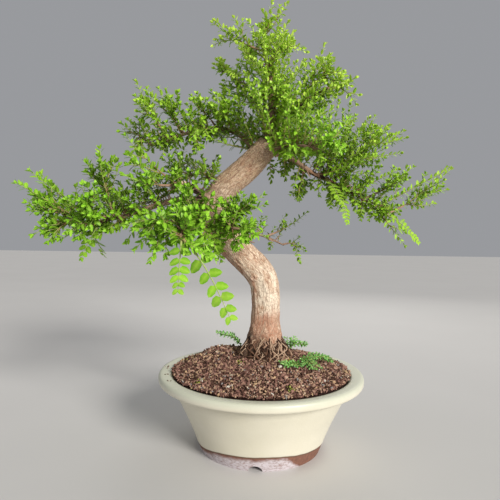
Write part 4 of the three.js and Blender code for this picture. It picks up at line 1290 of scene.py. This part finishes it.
def inner_foliage(seed, name, twigs):
    """Short shoots all round a branch, and the straight ones that fill the room between its sprays."""
    way = LIMB_WAYS[name]
    size, _, _, count, reach, begin_share = LEAFINESS[name]
    foliage = Foliage(seed, size)
    draw = foliage.random
    for number in range(count):
        share = begin_share + (1 - begin_share) * (number + draw.uniform(0, 0.8)) / count
        ahead = way.heading(share)
        away = around(ahead, draw.uniform(0, 2 * math.pi))
        heading = unit(1.2 * away + 0.4 * ahead + 0.5 * UP + 0.25 * FRONT)
        start = way.at(share)
        length = reach * draw.uniform(0.7, 1.25) * MM * (1.15 - 0.6 * share)
        length *= min(1, max(0.55, 0.9 + heading[2]))
        # A little painted shade for the shoots close round the branch
        tone = crown_age_and_painted_light(start + heading * length) - 0.06
        foliage.offshoot(start, heading, unit(ahead + UP), length, tone)
    for at, tip in SHOOTS_BETWEEN.get(name, []):
        start, end = way.at(at), np.array(tip) * MM
        straight = Way(start + np.linspace(0, 1, 9)[:, None] * (end - start))
        twigs.append((straight, 0.0, 0.12, (1.3, 1.0), (1, 0.6)))
        foliage.fan(straight, 0.1, 0, 1, crown_age_and_painted_light(end))
    return foliage


def build_sprays(leaf, tree):
    blade = leaf_shape(leaf)
    leaves = leaf_paint("myrtle_leaf", leaf.old_and_shaded_color, leaf.ripe_color, leaf.young_and_lit_color)
    stems = stem_paint(tree)
    twigs = []
    for index, (limb, at, tip, *forks) in enumerate(SPRAYS):
        name = f"{limb}_spray_{index + 1}"
        foliage = spray_foliage(index, limb, at, tip, forks, twigs)
        placed(foliage.mesh(f"{name}_foliage", blade, leaves, stems), "leaves", None, name)
    for index, name in enumerate(LIMB_WAYS):
        foliage = inner_foliage(INNER_SEED + index, name, twigs)
        placed(foliage.mesh(f"{name}_inner_foliage", blade, leaves, stems), "leaves", None)
    drop(blade)
    placed(tubes("twigs", twigs, 2), "bark", stems)


def seedling_way(root, tip):
    """A seedling's main shoot: straight up out of the soil, then over to its tip."""
    ground = soil_height(*root)
    foot, collar, neck = (np.array([*root, ground + lift]) for lift in (-8, 3, 8))
    bend = np.array(tip) * 0.35 + neck * 0.65
    bend[2] = (tip[2] + neck[2]) / 2 + 3
    return route([foot, collar, neck, bend, tip])


def fronds(foliage, shoot, first, facing):
    """Small shoots in turn on both sides of a seedling's shoot, shorter towards its tip."""
    draw = foliage.random
    count = int(shoot.length * (1 - first) / (FROND_STEP * MM))
    for number in range(count):
        share = first + (0.92 - first) * (number + 0.4) / count
        ahead = shoot.heading(share)
        side = unit(np.cross(ahead, facing)) * (1 if number % 2 else -1)
        length = draw.uniform(12, 20) * MM * (1.1 - 0.6 * share)
        start = shoot.at(share)
        frond = arch(start, start + unit(0.8 * ahead + 0.75 * side + 0.12 * UP) * length)
        foliage.shoot(frond, 0.1, facing, draw.normal(0.5, 0.15))


def build_seedlings(leaf, tree):
    blade = leaf_shape(leaf)
    leaves = leaf_paint("seedling_leaf", leaf.seedling_shade, leaf.seedling_color, SEEDLING_TIP)
    for index, (name, (root, tip, *forks)) in enumerate(SEEDLINGS.items()):
        foliage = Foliage(SEEDLING_SEED + index, SEEDLING_LEAF)
        way = seedling_way(root, tip)
        shoots = [(way, 0.3)]
        for number, fork in enumerate(forks):
            shoots.append((arch(way.at(0.452 + 0.2 * number), np.array(fork) * MM), 0.08))
        for shoot, first in shoots:
            facing = facing_up(shoot)
            foliage.shoot(shoot, first, facing, 0.55)
            fronds(foliage, shoot, first, facing)
        foliage.stems[0] = (way, 0.0, 1.0, (0.9, 0.4), (0.2, 0.0))
        piece = foliage.mesh(f"{name}_foliage", blade, leaves, stem_paint(tree))
        placed(piece, "seedling_leaves", None, name)
    drop(blade)


# The soil

def stone_shape():
    """One grain: a ball of twenty faces with lumps."""
    begin()
    bpy.ops.mesh.primitive_ico_sphere_add(subdivisions=1, radius=1)
    stone = named("stone_shape")
    places = places_of(stone)
    lumps = 1 + 0.22 * np.sin(5 * places[:, 0] + 2 * places[:, 1]) + 0.16 * np.cos(6 * places[:, 2])
    set_places(stone, places * lumps[:, None])
    outward(stone)
    return stone


def turns(draw, count):
    """Evenly random rotations."""
    w, x, y, z = unit(draw.normal(size=(count, 4))).T
    return np.stack([
        np.stack([1 - 2 * (y * y + z * z), 2 * (x * y - w * z), 2 * (x * z + w * y)], 1),
        np.stack([2 * (x * y + w * z), 1 - 2 * (x * x + z * z), 2 * (y * z - w * x)], 1),
        np.stack([2 * (x * z - w * y), 2 * (y * z + w * x), 1 - 2 * (x * x + y * y)], 1),
    ], 1)


def strewn_grains(draw, soil):
    """Grains on a shaken grid over the soil, with moss and pale ones: rows of place, size and shade."""
    step = soil.grain_spacing
    line = np.arange(-SOIL_RADIUS - 2, SOIL_RADIUS + 2, step)
    x, y = (part.ravel() for part in np.meshgrid(line, line))
    x = x + draw.uniform(-0.5, 0.5, len(x)) * step
    y = y + draw.uniform(-0.5, 0.5, len(y)) * step
    size = soil.grain_size * 0.5 * np.exp(draw.normal(0, 0.22, len(x)))
    size[draw.uniform(size=len(x)) < 0.01] *= 1.6
    keep = (np.hypot(x, y) < SOIL_RADIUS + 2.2 - size) & (np.hypot(x - 5, y) > 28)
    x, y, size = x[keep], y[keep], size[keep]
    shade = draw.uniform(0, 0.984, size=len(x))
    for moss_x, moss_y, reach in MOSS:
        on_moss = np.hypot(x - moss_x, y - moss_y) < reach * draw.uniform(0.3, 1.0, len(x))
        shade[on_moss] = MOSS_SHADE
        size[on_moss] *= 0.75
    shade[draw.choice(len(x), 14, replace=False)] = PALE_STONE
    rise = 3.6 * np.clip((np.hypot(x, y) - 120) / 10, 0, 1)
    z = soil_height(x, y) + rise + size * draw.uniform(-0.1, 0.8, len(x))
    return np.stack([x, y, z, size, shade], 1)


def pale_stones():
    x, y, size = np.array(STONES, float).T
    return np.stack([x, y, soil_height(x, y) + 1.4, size, np.full(len(x), PALE_STONE)], 1)


def rim_crumbs(draw):
    """A few crumbs of soil round each dirty place on the rim."""
    rows = []
    for dirt_x, dirt_y in RIM_DIRT:
        x = dirt_x + draw.normal(0, 2.2, CRUMBS)
        y = dirt_y + draw.normal(0, 2.2, CRUMBS)
        size = draw.uniform(0.35, 0.9, CRUMBS)
        rows.append(np.stack([x, y, np.full(CRUMBS, RIM_TOP + 0.1), size, draw.uniform(0, 0.6, CRUMBS)], 1))
    return np.vstack(rows)


def build_grains(soil):
    draw = np.random.default_rng(GRAIN_SEED)
    rows = np.vstack([strewn_grains(draw, soil), pale_stones(), rim_crumbs(draw)])
    squash = np.stack([draw.uniform(least, most, len(rows)) for least, most in GRAIN_SQUASH], 1)
    bases = turns(draw, len(rows)) * (squash * rows[:, 3:4] * MM)[:, None, :]
    stone = stone_shape()
    grains = stamped("soil_grains", stone, rows[:, :3] * MM, bases, {"shade": rows[:, 4]})
    drop(stone)
    placed(grains, "soil", grain_paint())


def paint_node(node, material):
    """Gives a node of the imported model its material."""
    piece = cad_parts[node]
    piece.data.materials.clear()
    piece.data.materials.append(material)


# The stage

def build_lights(stage):
    world = bpy.data.worlds.new("soft_studio")
    bpy.context.scene.world = world
    world.use_nodes = True
    sky = world.node_tree.nodes["Background"].inputs
    sky["Color"].default_value = (*SKY_COLOR, 1)
    sky["Strength"].default_value = stage.sky_strength
    for name, (kind, place, size) in LIGHTS.items():
        bpy.ops.object.light_add(type=kind, location=place)
        light = named(f"{name}_light")
        setattr(light.data, "angle" if kind == "SUN" else "size", size)
        light.data.energy = getattr(stage, f"{name}_strength")
        light.data.color = LIGHT_COLOR
        light.rotation_euler = (Vector(LIGHT_TARGET) - Vector(place)).to_track_quat("-Z", "Y").to_euler()


def build_stage(stage):
    begin()
    bpy.ops.mesh.primitive_plane_add(size=FLOOR_SIZE, location=(0, 0, 0))
    floor = named("floor")
    floor.data.materials.append(floor_paint(stage.floor_color))
    build_lights(stage)
    bpy.ops.object.camera_add(location=[part * MM for part in CAMERA_PLACE])
    camera = named("camera")
    tilt = Matrix.Rotation(math.radians(90 - CAMERA_TILT), 4, "X")
    roll = Matrix.Rotation(math.radians(CAMERA_ROLL), 4, "Z")
    camera.rotation_euler = (tilt @ roll).to_euler()
    camera.data.sensor_width = CAMERA_SENSOR
    camera.data.lens = CAMERA_LENS
    bpy.context.scene.camera = camera
    bpy.context.scene.view_settings.view_transform = "Standard"


# Settings that a user would change

def color_setting(name, description, default):
    return bpy.props.FloatVectorProperty(
        name=name, description=description, default=default, size=3, min=0, max=1, subtype="COLOR")


def number_setting(name, description, default, least=0.0):
    return bpy.props.FloatProperty(name=name, description=description, default=default, min=least)


class PotSettings(bpy.types.PropertyGroup):
    sides: bpy.props.IntProperty(name="Sides", description="Faces round the pot", default=144, min=24)
    glaze_color: color_setting("Glaze", "Colour of the glaze where it is thick", (0.76, 0.72, 0.59))
    glaze_shade: color_setting("Glaze shade", "Colour of the glaze where it is thin", (0.7, 0.66, 0.52))
    # The rim's colour is partly painted reflection on the top of the rim.
    rim_color: color_setting("Rim", "Colour of the glaze on top of the rim", (0.52, 0.56, 0.44))
    clay_color: color_setting("Clay", "Colour of the bare clay foot", (0.26, 0.115, 0.075))
    clay_shade: color_setting("Clay shade", "Darker colour of the bare clay", (0.14, 0.065, 0.045))


class TreeSettings(bpy.types.PropertyGroup):
    bark_grid: number_setting("Bark grid", "Size of the bark's faces in millimetres", 1.3, 0.8)
    rootlets: bpy.props.IntProperty(
        name="Rootlets", description="Number of fine roots on the flare", default=280, min=1)
    bark_color: color_setting("Bark", "Main colour of the bark", (0.56, 0.385, 0.27))
    bark_dark: color_setting("Bark furrows", "Colour between the flakes", (0.32, 0.17, 0.105))
    bark_pale: color_setting("Bark flakes", "Colour of the pale flakes", (0.78, 0.62, 0.47))
    # The fresh bark colour is also painted as shade in streaks down the trunk's left side.
    bark_red: color_setting("Fresh bark", "Colour where flakes have come off", (0.46, 0.2, 0.12))
    twig_color: color_setting("Twigs", "Colour of the young twigs", (0.36, 0.22, 0.15))


class LeafSettings(bpy.types.PropertyGroup):
    length: number_setting("Leaf length", "Of a full-size leaf, in millimetres", 13, 4)
    width: number_setting("Leaf width", "Of a full-size leaf, in millimetres", 6.8, 2)
    # The old colour also paints shade deep in the crown, the young one light at the top and on the right.
    old_and_shaded_color: color_setting("Old leaves", "Colour deep in the crown", (0.045, 0.11, 0.008))
    ripe_color: color_setting("Ripe leaves", "Colour of full-grown leaves", (0.23, 0.45, 0.018))
    young_and_lit_color: color_setting("Young leaves", "Colour of the tips", (0.5, 0.7, 0.09))
    seedling_color: color_setting("Seedlings", "Colour of the seedlings", (0.17, 0.43, 0.1))
    seedling_shade: color_setting("Seedlings' shade", "Their darkest colour", (0.05, 0.2, 0.03))


class SoilSettings(bpy.types.PropertyGroup):
    grain_size: number_setting("Grain size", "Usual width of a grain in millimetres", 3.0, 1)
    grain_spacing: number_setting("Grain spacing", "Between grains, in millimetres", 2.35, 1)


class StageSettings(bpy.types.PropertyGroup):
    floor_color: color_setting("Floor", "Colour of the floor", (0.58, 0.57, 0.555))
    sky_strength: number_setting("Sky", "Strength of the light from all round", 0.34)
    key_strength: number_setting("Key light", "Strength of the main light, a sun", 3.8)
    fill_strength: number_setting("Fill light", "Watts from the left", 1)
    back_strength: number_setting("Back light", "Watts from behind", 7)


class MYRTLE_OT_pot(bpy.types.Operator):
    """Turn the pot with its rolled rim, notched foot and uneven glaze line"""

    bl_idname = "myrtle.pot"
    bl_label = "Pot"

    def execute(self, context):
        build_pot(context.scene.myrtle_pot)
        return {"FINISHED"}


class MYRTLE_OT_wood(bpy.types.Operator):
    """Grow the trunk, its roots and its branches as one piece of wood with flaking bark"""

    bl_idname = "myrtle.wood"
    bl_label = "Wood"

    def execute(self, context):
        build_wood(context.scene.myrtle_tree)
        return {"FINISHED"}


class MYRTLE_OT_sprays(bpy.types.Operator):
    """Grow the twigs and the leafy sprays of the crown"""

    bl_idname = "myrtle.sprays"
    bl_label = "Sprays"

    def execute(self, context):
        build_sprays(context.scene.myrtle_leaf, context.scene.myrtle_tree)
        return {"FINISHED"}


class MYRTLE_OT_seedlings(bpy.types.Operator):
    """Grow the seedlings that stand in the soil"""

    bl_idname = "myrtle.seedlings"
    bl_label = "Seedlings"

    def execute(self, context):
        build_seedlings(context.scene.myrtle_leaf, context.scene.myrtle_tree)
        return {"FINISHED"}


class MYRTLE_OT_soil(bpy.types.Operator):
    """Strew mineral grains and moss over the soil, and finish the drain screen"""

    bl_idname = "myrtle.soil"
    bl_label = "Soil"

    def execute(self, context):
        paint_node("soil", soil_paint())
        paint_node("drain_screen", screen_paint())
        build_grains(context.scene.myrtle_soil)
        return {"FINISHED"}


class MYRTLE_OT_stage(bpy.types.Operator):
    """Set up the floor, the soft light and the camera"""

    bl_idname = "myrtle.stage"
    bl_label = "Stage"

    def execute(self, context):
        build_stage(context.scene.myrtle_stage)
        return {"FINISHED"}


SETTINGS = {
    "pot": PotSettings, "tree": TreeSettings, "leaf": LeafSettings, "soil": SoilSettings,
    "stage": StageSettings,
}
OPERATORS = (
    MYRTLE_OT_pot, MYRTLE_OT_wood, MYRTLE_OT_sprays, MYRTLE_OT_seedlings, MYRTLE_OT_soil,
    MYRTLE_OT_stage,
)


class MYRTLE_PT_panel(bpy.types.Panel):
    bl_label = "Myrtle bonsai"
    bl_idname = "MYRTLE_PT_panel"
    bl_space_type = "VIEW_3D"
    bl_region_type = "UI"
    bl_category = "Bonsai"

    def draw(self, context):
        for key, group in SETTINGS.items():
            box = self.layout.box()
            for name in group.__annotations__:
                box.prop(getattr(context.scene, f"myrtle_{key}"), name)
        for operator in OPERATORS:
            self.layout.operator(operator.bl_idname)


def register():
    for cls in (*SETTINGS.values(), *OPERATORS, MYRTLE_PT_panel):
        bpy.utils.register_class(cls)
    for key, group in SETTINGS.items():
        setattr(bpy.types.Scene, f"myrtle_{key}", bpy.props.PointerProperty(type=group))


def unregister():
    for key in SETTINGS:
        delattr(bpy.types.Scene, f"myrtle_{key}")
    for cls in (MYRTLE_PT_panel, *OPERATORS[::-1], *SETTINGS.values()):
        bpy.utils.unregister_class(cls)


def main():
    register()
    bpy.ops.myrtle.pot()
    bpy.ops.myrtle.wood()
    bpy.ops.myrtle.sprays()
    bpy.ops.myrtle.seedlings()
    bpy.ops.myrtle.soil()
    bpy.ops.myrtle.stage()


if __name__ == "__main__":
    main()
